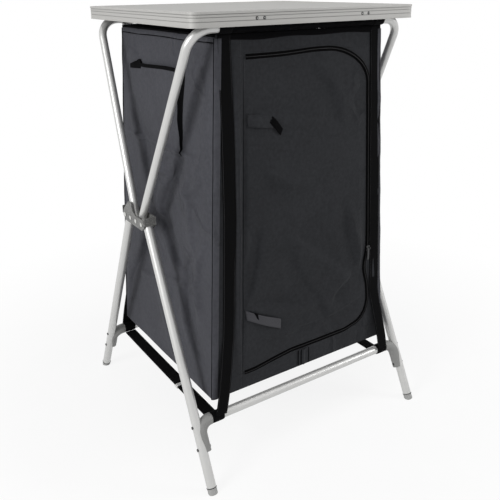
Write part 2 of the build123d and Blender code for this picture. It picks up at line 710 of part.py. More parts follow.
def door_corners(grow):
    """The door's four corners on the front face, pushed outwards by a distance."""
    top = DOOR_TOP + grow
    bottom = DOOR_BOTTOM - grow
    return [
        (door_left(bottom) - grow, front_rise(bottom)),
        (door_right(bottom) + grow, front_rise(bottom)),
        (door_right(top) + grow, front_rise(top)),
        (door_left(top) - grow, front_rise(top)),
    ]


def door_face(grow):
    """The door's outline on the front face: straight at the hinge, rounded on the other side."""
    corners = door_corners(grow)
    face = make_face(Polyline(*corners, close=True))
    low = face.vertices().sort_by_distance(Vector(*corners[1]))[0]
    face = fillet([low], DOOR_BOTTOM_RADIUS + grow)
    high = face.vertices().sort_by_distance(Vector(*corners[2]))[0]
    return fillet([high], DOOR_TOP_RADIUS + grow)


def make_front_panel():
    """The fabric round the door."""
    corners = []
    for z, side in ((BOX_BOTTOM, -1), (BOX_BOTTOM, 1), (BOX_TOP, 1), (BOX_TOP, -1)):
        corners.append((side * half_width(z), front_rise(z)))
    face = make_face(Polyline(*corners, close=True)) - door_face(DOOR_GAP)
    return extrude(FRONT_PLANE * face, -CLOTH)


def make_door():
    """The zipped door, hinged along its left edge."""
    return extrude(FRONT_PLANE * door_face(0), -CLOTH)


def past_hinge(grow):
    """The part of the front face to the right of the door's hinge line."""
    corners = door_corners(0)
    wide = BOX_BOTTOM_HALF_WIDTH
    return make_face(Polyline(
        (corners[0][0] + grow, 0),
        (wide, 0),
        (wide, front_rise(BOX_TOP)),
        (corners[3][0] + grow, front_rise(BOX_TOP)),
        close=True,
    ))


def make_outer_tape():
    """The half of the zip that is sewn to the fabric round the door."""
    face = (door_face(DOOR_GAP + ZIP_TAPE_WIDTH) - door_face(DOOR_GAP)) & past_hinge(2 * ZIP_TAPE_WIDTH)
    return extrude(FRONT_PLANE.offset(SEWN_GAP) * face, ZIP_TAPE_THICKNESS)


def make_inner_tape():
    """The half of the zip that is sewn to the door."""
    face = (door_face(0) - door_face(-ZIP_TAPE_WIDTH)) & past_hinge(2 * ZIP_TAPE_WIDTH)
    return extrude(FRONT_PLANE.offset(SEWN_GAP) * face, ZIP_TAPE_THICKNESS)


def make_door_ties():
    """The two ties that hold the rolled-up door, sewn near its hinge."""
    ties = []
    for height in (DOOR_TOP - TIE_TOP_DROP, DOOR_BOTTOM + TIE_BOTTOM_RISE):
        left = door_left(height) + 2 * ZIP_TAPE_WIDTH
        middle = Pos(left + TIE_LENGTH / 2, front_rise(height))
        face = middle * Rectangle(TIE_LENGTH, TIE_WIDTH)
        ties.append(extrude(FRONT_PLANE.offset(SEWN_GAP) * face, TIE_THICKNESS))
    return ties


def make_zip_garage():
    """The small cloth tab sewn to the panel below the door's zip."""
    place = Pos(0, GARAGE_RISE + GARAGE_HEIGHT / 2)
    face = place * RectangleRounded(GARAGE_WIDTH, GARAGE_HEIGHT, GARAGE_RISE)
    return extrude(FRONT_PLANE.offset(SEWN_GAP) * face, ZIP_TAPE_THICKNESS)


def slider_plane():
    """The plane of the zip slider's underside, at the middle of the slider on the zip's right run."""
    base = FRONT_PLANE.offset(ZIP_TAPE_THICKNESS + SEWN_GAP + SOFT_CLEARANCE)
    return Plane(base * Pos(door_right(SLIDER_HEIGHT), front_rise(SLIDER_HEIGHT)))


def pull_pin_height():
    """How far the pull's pin stands above the slider's underside."""
    return SLIDER_THICKNESS + SLIDER_EAR_HEIGHT - SLIDER_EAR_LENGTH / 2


def slider_cross_rod(half_length, radius):
    """A round bar across the slider at the pull's pin."""
    middle = slider_plane().offset(pull_pin_height())
    plane = Plane(origin=middle.origin, x_dir=middle.y_dir, z_dir=middle.x_dir)
    return extrude(plane * Circle(radius), half_length, both=True)


def make_zip_slider():
    """The zip's slider, with two ears that hold the pull's pin."""
    plane = slider_plane()
    slider = extrude(plane * RectangleRounded(SLIDER_WIDTH, SLIDER_LENGTH, 2), SLIDER_THICKNESS)
    for side in (-1, 1):
        place = Pos(side * (SLIDER_WIDTH - SLIDER_EAR_WIDTH) / 2, 0)
        ear = place * Rectangle(SLIDER_EAR_WIDTH, SLIDER_EAR_LENGTH)
        slider += extrude(plane.offset(SLIDER_THICKNESS / 2) * ear, SLIDER_EAR_HEIGHT + SLIDER_THICKNESS / 2)
    return slider - slider_cross_rod(SLIDER_WIDTH, PULL_PIN_DIAMETER / 2 + PIN_CLEARANCE)


def make_zip_pull():
    """The pull that hangs from the slider, with its own cross pin."""
    place = Pos(0, -PULL_LENGTH / 2)
    low = pull_pin_height() - PULL_THICKNESS / 2
    blade = place * RectangleRounded(PULL_WIDTH, PULL_LENGTH + PULL_THICKNESS, PULL_THICKNESS)
    pull = extrude(slider_plane().offset(low) * blade, PULL_THICKNESS)
    return pull + slider_cross_rod(SLIDER_WIDTH / 2, PULL_PIN_DIAMETER / 2)


def make_vertical_strap():
    """The right front strap, from the top bar's loop down to the crossbar's loop."""
    top = TOP_BAR_HEIGHT - UPPER_LOOP_RADIUS - SOFT_CLEARANCE
    bottom = CROSSBAR_HEIGHT + LOWER_LOOP_RADIUS + SOFT_CLEARANCE
    heights = [bottom, STRAP_KNEE_HEIGHT, top]
    inner = [(strap_inner(z), front_rise(z)) for z in heights]
    outer = [(strap_inner(z) + STRAP_WIDTH, front_rise(z)) for z in reversed(heights)]
    face = make_face(Polyline(*inner, *outer, close=True))
    return extrude(FRONT_PLANE.offset(SEWN_GAP) * face, STRAP_THICKNESS)


def make_side_strap():
    """The left strap that runs on from under the front crossbar's loop to the rear one's."""
    middle = -STRAP_EDGE_BOTTOM + STRAP_WIDTH / 2
    rise = LOWER_LOOP_RADIUS - SIDE_STRAP_THICKNESS
    touch = (LOWER_LOOP_RADIUS ** 2 - rise ** 2) ** 0.5
    reach = CROSSBAR_SPREAD - touch - SEWN_GAP
    return Pos(middle, 0, SIDE_STRAP_HEIGHT) * Box(STRAP_WIDTH, 2 * reach, SIDE_STRAP_THICKNESS)


def make_buckle():
    """The slider buckle round the left side strap."""
    inner_x = STRAP_WIDTH + 2 * SOFT_CLEARANCE
    inner_z = SIDE_STRAP_THICKNESS + 2 * SOFT_CLEARANCE
    ring = Box(inner_x + 2 * BUCKLE_WALL, BUCKLE_LENGTH, inner_z + 2 * BUCKLE_WALL)
    ring -= Box(inner_x, 2 * BUCKLE_LENGTH, inner_z)
    return Pos(-STRAP_EDGE_BOTTOM + STRAP_WIDTH / 2, BUCKLE_PLACE, SIDE_STRAP_HEIGHT) * ring


def make_pocket():
    """The open-topped pocket on the left wall: a front sheet with gussets at its sides and bottom."""
    low = side_rise(POCKET_BOTTOM)
    high = side_rise(POCKET_TOP)
    middle = -(POCKET_REAR + POCKET_FRONT) / 2
    wide = POCKET_REAR - POCKET_FRONT
    outer = Pos(middle, (low + high) / 2) * Rectangle(wide, high - low)
    inner = Pos(middle, (low + high + POCKET_CLOTH) / 2) * Rectangle(wide - 2 * POCKET_CLOTH,
                                                                     high - low - POCKET_CLOTH)
    base = max(FOLD_DEPTHS) * fold_share(POCKET_BOTTOM) + SOFT_CLEARANCE
    gussets = extrude(SIDE_PLANE.offset(base) * (outer - inner), POCKET_DEPTH - POCKET_CLOTH)
    sheet = extrude(SIDE_PLANE.offset(base + POCKET_DEPTH - POCKET_CLOTH) * outer, POCKET_CLOTH)
    return gussets + sheet


def make_pocket_binding():
    """The binding folded over the pocket's mouth."""
    high = side_rise(POCKET_TOP)
    middle = -(POCKET_REAR + POCKET_FRONT) / 2
    wide = POCKET_REAR - POCKET_FRONT
    base = max(FOLD_DEPTHS) * fold_share(POCKET_BOTTOM) + SOFT_CLEARANCE
    skin = base + POCKET_DEPTH + SEWN_GAP
    low = high - POCKET_BINDING_HEIGHT + POCKET_BINDING_WALL + SEWN_GAP
    strip = Pos(middle, low + POCKET_BINDING_HEIGHT / 2) * Rectangle(wide, POCKET_BINDING_HEIGHT)
    crest = Pos(middle, high + SEWN_GAP + POCKET_BINDING_WALL / 2) * Rectangle(wide, POCKET_BINDING_WALL)
    binding = extrude(SIDE_PLANE.offset(skin) * strip, POCKET_BINDING_WALL)
    return binding + extrude(SIDE_PLANE.offset(skin - POCKET_CLOTH) * crest, POCKET_CLOTH + POCKET_BINDING_WALL)


def build_nodes():
    """Every node of the object by name."""
    nodes = {}
    nodes["tabletop_board"] = make_board()
    nodes["tabletop_edge_frame"] = drill_edge_frame(make_edge_frame())
    front_clips = [make_front_clip(-CLIP_OFFSET), make_front_clip(CLIP_OFFSET)]
    nodes["front_bar_clips"] = group(*front_clips)
    nodes["rear_bar_clips"] = group(*[to_rear(clip) for clip in front_clips])
    clip_rivets = make_front_clip_rivets()
    nodes["clip_rivets"] = group(*clip_rivets, *[to_rear(rivet) for rivet in clip_rivets])

    top_loops = make_strap_loops(strap_inner(BOX_TOP), -TOP_BAR_SPREAD, TOP_BAR_HEIGHT, UPPER_RADIUS)
    bar_loops = make_strap_loops(strap_inner(CROSSBAR_HEIGHT), -CROSSBAR_SPREAD, CROSSBAR_HEIGHT, LOWER_RADIUS)
    upper = make_upper_tube()
    leg = make_leg()
    elbow = make_elbow()
    rivets = make_elbow_rivets()
    foot = make_foot()
    front = {
        "upper_tube_left": upper,
        "upper_tube_right": to_right(upper),
        "top_bar": make_top_bar(),
        "top_sleeve": make_top_sleeve(),
        "top_bar_loops": group(*top_loops),
        "leg_left": leg,
        "leg_right": to_right(leg),
        "crossbar": make_crossbar(),
        "elbow_left": elbow,
        "elbow_right": to_right(elbow),
        "elbow_rivets": group(*rivets, *[to_right(rivet) for rivet in rivets]),
        "foot_caps": group(foot, to_right(foot)),
        "crossbar_loops": group(*bar_loops),
    }
    for name, shape in front.items():
        nodes["front_" + name] = shape
        nodes["rear_" + name] = to_rear(shape)

    outer = make_bracket_outer()
    inner = make_bracket_inner()
    pins = make_bracket_pins()
    nodes["left_bracket_outer"] = outer
    nodes["left_bracket_inner"] = inner
    nodes["left_bracket_pins"] = group(*pins)
    nodes["right_bracket_outer"] = to_right(outer)
    nodes["right_bracket_inner"] = to_right(inner)
    nodes["right_bracket_pins"] = group(*[to_right(pin) for pin in pins])

    wall = make_side_wall()
    hem = make_side_hem()
    strap = make_side_strap()
    buckle = make_buckle()
    nodes["left_side_wall"] = wall
    nodes["right_side_wall"] = to_right(wall)
    nodes["side_hems"] = group(hem, to_right(hem))
    nodes["side_straps"] = group(strap, to_right(strap))
    nodes["side_strap_buckles"] = group(buckle, to_right(buckle))
    names = ["floor_deck"] + ["shelf_deck_%d" % number for number in range(1, SHELF_COUNT)]
    for name, z in zip(names, shelf_heights()):
        nodes[name] = make_shelf(z)
    nodes["side_pocket"] = make_pocket()
    nodes["pocket_binding"] = make_pocket_binding()

    front_strap = make_vertical_strap()
    straps = [to_right(front_strap), front_strap]
    nodes["front_panel"] = make_front_panel()
    nodes["front_straps"] = group(*straps)
    nodes["zip_tape_panel"] = make_outer_tape()
    nodes["door_panel"] = make_door()
    nodes["zip_tape_door"] = make_inner_tape()
    nodes["door_ties"] = group(*make_door_ties())
    nodes["zip_garage"] = make_zip_garage()
    nodes["zip_slider"] = make_zip_slider()
    nodes["zip_pull"] = make_zip_pull()
    nodes["rear_panel"] = to_rear(extrude(FRONT_PLANE * make_face(Polyline(
        (-half_width(BOX_BOTTOM), 0),
        (half_width(BOX_BOTTOM), 0),
        (half_width(BOX_TOP), front_rise(BOX_TOP)),
        (-half_width(BOX_TOP), front_rise(BOX_TOP)),
        close=True,
    )), -CLOTH))
    nodes["rear_straps"] = group(*[to_rear(piece) for piece in straps])
    return nodes


def main():
    """Write each node to its own file."""
    os.makedirs("parts", exist_ok=True)
    for name, shape in build_nodes().items():
        export_step(shape, "parts/%s.step" % name)
        print(name, len(shape.solids()), round(shape.volume))


main()
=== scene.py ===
"""Looks of a folding camp kitchen unit.

A tabletop with a grooved edge stands on a crossed tube frame over a zipped cupboard of cloth.
Metres throughout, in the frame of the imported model: +Z up, -Y towards the door, +X to the door's right.
"""

import json
import logging
import math
from dataclasses import dataclass, replace
from enum import Enum
from typing import Any, Callable, Dict, List, Optional, Sequence, Tuple

import bpy
import numpy as np
from mathutils import Matrix, Vector


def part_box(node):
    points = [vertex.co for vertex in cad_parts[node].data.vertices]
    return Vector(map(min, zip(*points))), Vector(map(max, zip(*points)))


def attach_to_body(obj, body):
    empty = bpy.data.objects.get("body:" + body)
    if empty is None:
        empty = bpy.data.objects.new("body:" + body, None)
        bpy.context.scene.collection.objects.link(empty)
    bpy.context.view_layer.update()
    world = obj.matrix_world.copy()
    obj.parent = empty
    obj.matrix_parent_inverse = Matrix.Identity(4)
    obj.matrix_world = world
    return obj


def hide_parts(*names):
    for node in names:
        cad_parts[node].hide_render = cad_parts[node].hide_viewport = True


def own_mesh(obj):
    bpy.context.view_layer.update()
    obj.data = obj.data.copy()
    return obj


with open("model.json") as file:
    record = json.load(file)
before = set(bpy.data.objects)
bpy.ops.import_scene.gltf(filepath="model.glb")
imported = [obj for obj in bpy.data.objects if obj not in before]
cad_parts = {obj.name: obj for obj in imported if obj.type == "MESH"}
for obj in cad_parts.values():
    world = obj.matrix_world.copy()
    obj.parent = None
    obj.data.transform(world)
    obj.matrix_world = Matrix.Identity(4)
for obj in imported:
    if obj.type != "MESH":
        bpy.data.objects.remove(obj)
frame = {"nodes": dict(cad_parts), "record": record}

LOG = logging.getLogger("kitchen_unit")

Colour = Tuple[float, float, float]
Point2 = Tuple[float, float]
Point3 = Tuple[float, float, float]
Piece = bpy.types.Object
Node = bpy.types.Node
Socket = bpy.types.NodeSocket
Tree = bpy.types.NodeTree

WHITE = (1.0, 1.0, 1.0, 1.0)
# How far roughness varies over a surface, and how much of its colour is left where painted shade darkens it.
GLOSS_SPREAD = 0.06
PAINTED_SHADE_SHARE = 0.70


class Side(Enum):
    """Which way along an axis a piece lies."""

    LOW = -1
    HIGH = 1


END = {Side.LOW: "front", Side.HIGH: "rear"}
HAND = {Side.LOW: "left", Side.HIGH: "right"}


# Shader and geometry graphs


class Value:
    """One number socket of a graph, usable in Python arithmetic."""

    def __init__(self, graph: "Graph", socket: Socket) -> None:
        """Wrap a socket.

        Args:
            graph: The graph that the socket belongs to.
            socket: The output socket to wrap.
        """
        self.graph = graph
        self.socket = socket

    def _math(self, operation: str, *others: Any) -> "Value":
        """Add one Math node.

        Args:
            operation: The Math node's operation.
            others: Values or numbers for its sockets, in order.

        Returns:
            The node's result.
        """
        node = self.graph.node("ShaderNodeMath", {"operation": operation}, dict(enumerate(others)))
        return Value(self.graph, node.outputs[0])

    def __add__(self, other: Any) -> "Value":
        """Sum of two values."""
        return self._math("ADD", self, other)

    __radd__ = __add__

    def __mul__(self, other: Any) -> "Value":
        """Product of two values."""
        return self._math("MULTIPLY", self, other)

    __rmul__ = __mul__

    def __sub__(self, other: Any) -> "Value":
        """Difference of two values."""
        return self._math("SUBTRACT", self, other)

    def __rsub__(self, other: Any) -> "Value":
        """Difference with the number first."""
        return self._math("SUBTRACT", other, self)

    def __truediv__(self, other: Any) -> "Value":
        """Quotient of two values."""
        return self._math("DIVIDE", self, other)

    def __pow__(self, other: Any) -> "Value":
        """Power of a value."""
        return self._math("POWER", self, other)

    def sine(self) -> "Value":
        """Sine of a value in radians."""
        return self._math("SINE", self)

    def absolute(self) -> "Value":
        """Size of a value without its sign."""
        return self._math("ABSOLUTE", self)

    def above(self, other: Any) -> "Value":
        """One where the value is above another, else zero."""
        return self._math("GREATER_THAN", self, other)

    def ramp(self, low: float, high: float) -> "Value":
        """Zero at a low value, one at a high one, held beyond both.

        Args:
            low: The value that gives zero.
            high: The value that gives one.

        Returns:
            The ramped value.
        """
        node = self.graph.node("ShaderNodeMapRange", {"clamp": True},
                               {0: self, 1: low, 2: high, 3: 0.0, 4: 1.0})
        return Value(self.graph, node.outputs[0])


class Graph:
    """A node tree with one method that adds any node."""

    def __init__(self, tree: Tree) -> None:
        """Wrap a node tree."""
        self.tree = tree

    def node(self, kind: str, settings: Optional[Dict[str, Any]] = None,
             values: Optional[Dict[Any, Any]] = None) -> Node:
        """Add a node, set its settings first and then its sockets.

        Args:
            kind: The node's type name.
            settings: Properties of the node.
            values: Socket name or index to a plain value, a Value or a socket to link.

        Returns:
            The new node.
        """
        node = self.tree.nodes.new(kind)
        for name, setting in (settings or {}).items():
            setattr(node, name, setting)
        for name, value in (values or {}).items():
            socket = node.inputs[name]
            if isinstance(value, Value):
                self.tree.links.new(value.socket, socket)
            elif isinstance(value, Socket):
                self.tree.links.new(value, socket)
            else:
                socket.default_value = value
        return node

    def mix(self, factor: Any, first: Any, second: Any) -> Socket:
        """Mix two colours.

        Args:
            factor: Zero for the first colour, one for the second.
            first: Colour or socket.
            second: Colour or socket.

        Returns:
            The mixed colour's socket.
        """
        colours = [(*c, 1.0) if isinstance(c, tuple) and len(c) == 3 else c for c in (first, second)]
        node = self.node("ShaderNodeMix", {"data_type": "RGBA"}, {0: factor, 6: colours[0], 7: colours[1]})
        return node.outputs[2]

    def noise(self, vector: Socket, scale: float, detail: float = 3.0) -> Value:
        """Noise from 0 to 1 over a vector.

        Args:
            vector: The coordinates.
            scale: Repeats in one metre.
            detail: Octaves.

        Returns:
            The noise.
        """
        node = self.node("ShaderNodeTexNoise", {"noise_dimensions": "3D"},
                         {"Vector": vector, "Scale": scale, "Detail": detail, "Roughness": 0.55})
        return Value(self, node.outputs[0])

    def split(self, vector: Socket) -> Tuple[Value, Value, Value]:
        """The three parts of a vector."""
        outputs = self.node("ShaderNodeSeparateXYZ", None, {0: vector}).outputs
        return Value(self, outputs[0]), Value(self, outputs[1]), Value(self, outputs[2])

    def place(self) -> Socket:
        """Where a point of the piece is, in metres."""
        return self.node("ShaderNodeTexCoord").outputs["Object"]

    def map_in_metres(self) -> Tuple[Value, Value, Value]:
        """Where a point of the cloth is on its flat map, across and along it."""
        return self.split(self.node("ShaderNodeTexCoord").outputs["UV"])

    def stretched(self, scale: Point3) -> Socket:
        """The place of a point, scaled by a different number each way."""
        return self.node("ShaderNodeMapping", None, {"Vector": self.place(), "Scale": scale}).outputs[0]


MATERIALS: Dict[str, bpy.types.Material] = {}


@dataclass(frozen=True)
class Finish:
    """A material's constants. Each kind of finish adds its own pattern."""

    name: str
    colour: Colour
    roughness: float = 0.5
    metallic: float = 0.0
    coat: float = 0.0
    sheen: float = 0.0
    specular: float = 0.5

    def material(self) -> bpy.types.Material:
        """Build the material, or return it if it was built before.

        Returns:
            The material.
        """
        if self.name in MATERIALS:
            return MATERIALS[self.name]
        material = bpy.data.materials.new(self.name)
        MATERIALS[self.name] = material
        material.use_nodes = True
        material.node_tree.nodes.clear()
        graph = Graph(material.node_tree)
        shader = graph.node("ShaderNodeBsdfPrincipled", None, {
            "Base Color": (*self.colour, 1.0),
            "Roughness": self.roughness,
            "Metallic": self.metallic,
            "Coat Weight": self.coat,
            "Coat Roughness": 0.25,
            "Sheen Weight": self.sheen,
            "Sheen Roughness": 0.5,
            "Specular IOR Level": self.specular,
        })
        self.pattern(graph, shader)
        graph.node("ShaderNodeOutputMaterial", None, {"Surface": shader.outputs[0]})
        return material

    def pattern(self, graph: Graph, shader: Node) -> None:
        """Add what changes over the surface. The plain finish only varies a little in tone and gloss.

        Args:
            graph: The material's graph.
            shader: Its Principled shader.
        """
        self.tone(graph, shader, graph.noise(graph.place(), 9.0), 0.06)

    def tone(self, graph: Graph, shader: Node, share: Value, spread: float,
             shade: Optional[Value] = None) -> None:
        """Vary the base colour and roughness.

        Args:
            graph: The material's graph.
            shader: Its Principled shader.
            share: A value from 0 to 1 over the surface.
            spread: How far the colour goes up and down, as a share of itself.
            shade: One where painted shade darkens the surface, else zero.
        """
        dark = tuple(c * (1 - spread) for c in self.colour)
        light = tuple(min(c * (1 + spread), 1.0) for c in self.colour)
        colour = graph.mix(share, dark, light)
        if shade is not None:
            colour = graph.mix(shade, colour, tuple(c * PAINTED_SHADE_SHARE for c in self.colour))
        graph.tree.links.new(colour, shader.inputs["Base Color"])
        rough = share * GLOSS_SPREAD + (self.roughness - GLOSS_SPREAD / 2)
        graph.tree.links.new(rough.socket, shader.inputs["Roughness"])

    def bump(self, graph: Graph, shader: Node, height: Value, depth: float,
             strength: float = 1.0) -> None:
        """Give the surface a relief.

        Args:
            graph: The material's graph.
            shader: Its Principled shader.
            height: The relief.
            depth: Metres for each unit of the relief.
            strength: How strongly it shows.
        """
        node = graph.node("ShaderNodeBump", None, {"Height": height, "Distance": depth, "Strength": strength})
        graph.tree.links.new(node.outputs[0], shader.inputs["Normal"])


@dataclass(frozen=True)
class TubeFinish(Finish):
    """Satin silver tube, with fine draw marks."""

    def pattern(self, graph: Graph, shader: Node) -> None:
        """Soft cloudiness and fine grain.

        Args:
            graph: The material's graph.
            shader: Its Principled shader.
        """
        place = graph.place()
        cloud = graph.noise(place, 14.0)
        grain = graph.noise(place, 900.0, 2.0)
        self.tone(graph, shader, cloud * 0.7 + grain * 0.3, 0.05)
        self.bump(graph, shader, grain, 0.00004)


@dataclass(frozen=True)
class BrushedFinish(Finish):
    """Extruded edge profile, with long fine lines round the table and painted shade in its grooves."""

    grooves: Tuple[float, ...] = ()
    groove_half: float = 0.0012

    def pattern(self, graph: Graph, shader: Node) -> None:
        """Lines along the profile, slight clouding and painted shade in the grooves.

        Args:
            graph: The material's graph.
            shader: Its Principled shader.
        """
        place = graph.place()
        lines = graph.noise(graph.stretched((6.0, 6.0, 1500.0)), 1.0, 2.0)
        cloud = graph.noise(place, 10.0)
        height = graph.split(place)[2]
        # Painted shade: a dark band at each groove's height stands in for the shade that falls in the
        # grooves.
        painted_groove_shade = sum((height - groove).absolute().ramp(self.groove_half, self.groove_half * 0.4)
                   for groove in self.grooves)
        self.tone(graph, shader, lines * 0.5 + cloud * 0.5, 0.07, painted_groove_shade)
        self.bump(graph, shader, lines, 0.00003)


@dataclass(frozen=True)
class LaminateFinish(Finish):
    """Board top with a fine fleck in its print and a slight orange peel."""

    def pattern(self, graph: Graph, shader: Node) -> None:
        """Flecks, clouds and a shallow relief.

        Args:
            graph: The material's graph.
            shader: Its Principled shader.
        """
        place = graph.place()
        fleck = graph.noise(place, 650.0, 3.0).ramp(0.42, 0.62)
        cloud = graph.noise(place, 5.0)
        self.tone(graph, shader, fleck * 0.75 + cloud * 0.25, 0.09)
        self.bump(graph, shader, graph.noise(place, 1100.0, 2.0), 0.00005)


@dataclass(frozen=True)
class FloorFinish(Finish):
    """Pale floor that looks nearly white near the object and quite white further out."""

    near: float = 0.6
    far: float = 1.3

    def material(self) -> bpy.types.Material:
        """Build the floor's material, with a white glow that only the camera and mirrors see.

        Returns:
            The material.
        """
        material = super().material()
        graph = Graph(material.node_tree)
        nodes = material.node_tree.nodes
        shader = next(node for node in nodes if node.bl_idname == "ShaderNodeBsdfPrincipled")
        output = next(node for node in nodes if node.bl_idname == "ShaderNodeOutputMaterial")
        across, along, _ = graph.split(graph.place())
        spread = ((across * across + along * along) ** 0.5).ramp(self.near, self.far)
        path = graph.node("ShaderNodeLightPath").outputs
        camera, mirror, through = (Value(graph, path["Is %s Ray" % kind])
                                   for kind in ("Camera", "Glossy", "Transmission"))
        seen = (camera + mirror + through).ramp(0.0, 1.0)
        white = graph.node("ShaderNodeEmission", None, {"Color": WHITE, "Strength": 1.0}).outputs[0]
        both = graph.node("ShaderNodeMixShader", None,
                          {0: seen * (spread * 0.14 + 0.86), 1: shader.outputs[0], 2: white}).outputs[0]
        graph.tree.links.new(both, output.inputs["Surface"])
        return material


@dataclass(frozen=True)
class SpeckleFinish(Finish):
    """Cast or moulded grey with a fine speckle."""

    grain: float = 1200.0
    spread: float = 0.25

    def pattern(self, graph: Graph, shader: Node) -> None:
        """Speckles and grain.

        Args:
            graph: The material's graph.
            shader: Its Principled shader.
        """
        speck = graph.noise(graph.place(), self.grain, 4.0)
        self.tone(graph, shader, speck.ramp(0.35, 0.68), self.spread)
        self.bump(graph, shader, speck, 0.00012)


@dataclass(frozen=True)
class ClothFinish(Finish):
    """Plain weave cloth, on a UV map in metres."""

    thread: float = 0.0011
    blotch: float = 0.10
    crumple: float = 0.0

    def pattern(self, graph: Graph, shader: Node) -> None:
        """Over and under threads, slubs, wear, crumpled ridges and dents.

        Args:
            graph: The material's graph.
            shader: Its Principled shader.
        """
        across, along, _ = graph.map_in_metres()
        turn = 2.0 * math.pi / self.thread
        weave = (across * turn).sine() * (along * turn).sine() * 0.5 + 0.5
        place = graph.place()
        slubs = graph.noise(graph.stretched((300.0, 300.0, 22.0)), 1.0, 2.0)
        cloud = graph.noise(place, 7.0, 4.0).ramp(0.3, 0.7)
        mottle = graph.noise(place, 130.0, 3.0).ramp(0.3, 0.7)
        self.tone(graph, shader, weave * 0.15 + slubs * 0.2 + cloud * 0.25 + mottle * 0.4, self.blotch)
        ridge = graph.noise(place, 7.0, 2.0) - 0.5
        crumpled = (1.0 - ridge.absolute().ramp(0.0, 0.07)) * graph.noise(place, 3.1, 1.0).ramp(0.46, 0.60)
        dents = graph.noise(place, 16.0, 2.0)
        height = weave * 0.00014 + slubs * 0.00004 + (crumpled * 0.0075 + dents * 0.0050) * self.crumple
        self.bump(graph, shader, height, 1.0, 0.9)


@dataclass(frozen=True)
class WebbingFinish(Finish):
    """Ribbed webbing, on a UV map in metres with V along the strap."""

    rib: float = 0.0022

    def pattern(self, graph: Graph, shader: Node) -> None:
        """Ribs across the strap and herringbone threads along it.

        Args:
            graph: The material's graph.
            shader: Its Principled shader.
        """
        across, along, _ = graph.map_in_metres()
        turn = 2.0 * math.pi / self.rib
        ribs = ((along + across.absolute() * 0.25) * turn).sine() * 0.5 + 0.5
        cords = (across * (turn * 0.8)).sine() * 0.5 + 0.5
        self.tone(graph, shader, ribs * 0.6 + cords * 0.4, 0.3)
        self.bump(graph, shader, ribs * 0.7 + cords * 0.3, 0.0003)


TUBE = TubeFinish("tube_silver", (0.58, 0.58, 0.57), roughness=0.34, metallic=0.45)
EDGE = BrushedFinish("edge_aluminium", (0.42, 0.415, 0.40), roughness=0.5, metallic=0.1,
                     grooves=(1.0348, 1.0294, 1.0216))
BOARD = LaminateFinish("board_laminate", (0.388, 0.384, 0.370), roughness=0.5, specular=0.3)
HINGE = SpeckleFinish("hinge_grey", (0.17, 0.17, 0.165), roughness=0.5, metallic=0.3, grain=520.0, spread=0.5)
ELBOW = SpeckleFinish("elbow_grey", (0.24, 0.24, 0.235), roughness=0.55, grain=900.0, spread=0.12)
FOOT = SpeckleFinish("foot_grey", (0.36, 0.36, 0.355), roughness=0.55, grain=900.0, spread=0.1)
SEAT = SpeckleFinish("seat_black", (0.014, 0.014, 0.015), roughness=0.7, specular=0.1, grain=900.0)
RIVET = Finish("rivet_bright", (0.62, 0.62, 0.60), roughness=0.28, metallic=0.9)
DARK_RIVET = Finish("rivet_dark", (0.035, 0.035, 0.035), roughness=0.42, metallic=0.2)
# Painted light and shade: the walls and the panels are one fabric. The first is a lit copy of it, and the
# second is a darker copy that paints in the shade on the front and rear faces.
LIT_CLOTH_COPY = ClothFinish("cloth_lit_copy", (0.058, 0.059, 0.068), roughness=0.9, sheen=0.03, specular=0.12,
                         blotch=0.30, crumple=1.0)
SHADED_CLOTH_COPY = ClothFinish("cloth_shaded_copy", (0.026, 0.027, 0.030), roughness=0.9, sheen=0.02, specular=0.1,
                          blotch=0.38, crumple=1.0)
BLACK_CLOTH = ClothFinish("cloth_black", (0.003, 0.003, 0.0034), roughness=0.95, specular=0.04)
WEBBING = WebbingFinish("webbing_black", (0.003, 0.003, 0.0033), roughness=0.9, specular=0.06)
RIBBON = WebbingFinish("ribbon_grey", (0.060, 0.060, 0.067), roughness=0.75, sheen=0.04, specular=0.15,
                       rib=0.0012)
ZIP = Finish("zip_black", (0.0016, 0.0016, 0.0018), roughness=0.8, specular=0.03)
COIL = Finish("zip_coil_black", (0.010, 0.010, 0.011), roughness=0.45, specular=0.3)
THREAD = Finish("thread_grey", (0.05, 0.05, 0.055), roughness=0.8)
SLIDER = Finish("slider_dark", (0.05, 0.05, 0.052), roughness=0.32, metallic=0.7)
BUCKLE = Finish("buckle_white", (0.72, 0.72, 0.71), roughness=0.3, coat=0.3)


# Mesh helpers


def add_object(name: str, data: Any) -> Piece:
    """Put an object with its data into the scene.

    Args:
        name: The object's name.
        data: Its mesh, lamp or camera.

    Returns:
        The object.
    """
    obj = bpy.data.objects.new(name, data)
    bpy.context.scene.collection.objects.link(obj)
    return obj


def attach(piece: Piece, body: str, node: str = "") -> Piece:
    """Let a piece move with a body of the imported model.

    Args:
        piece: The piece.
        body: The body that it rides on.
        node: The solid that it stands for, if any.

    Returns:
        The piece.
    """
    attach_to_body(piece, body)
    if node:
        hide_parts(node)
    return piece


def flatten(piece: Piece, node: str) -> Piece:
    """Attach a piece that the fold presses flat between the front and the rear.

    Args:
        piece: The piece.
        node: The solid that it stands for.

    Returns:
        The piece.
    """
    attach(piece, "fabric_box", node)
    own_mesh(piece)
    return piece


def grid(*parts: Any) -> np.ndarray:
    """Coordinates of any matching shapes, put together as one grid of points."""
    return np.stack(np.broadcast_arrays(*parts), axis=-1)


def ramp(value: Any, start: float, end: float) -> Any:
    """Zero at the start, one at the end, held beyond both."""
    return np.clip((value - start) / (end - start), 0, 1)


def between(value: Any, pairs: Sequence[Point2]) -> Any:
    """A value read from straight runs between pairs of a place and its value."""
    return np.interp(value, *zip(*pairs))


def run_lengths(path: np.ndarray) -> np.ndarray:
    """The length run along a path at each of its points."""
    return np.concatenate([[0], np.cumsum(np.linalg.norm(np.diff(path, axis=0), axis=1))])


def circle(sides: int) -> np.ndarray:
    """Angles once round a circle, without the last that repeats the first."""
    return np.linspace(0, 2 * math.pi, sides, endpoint=False)


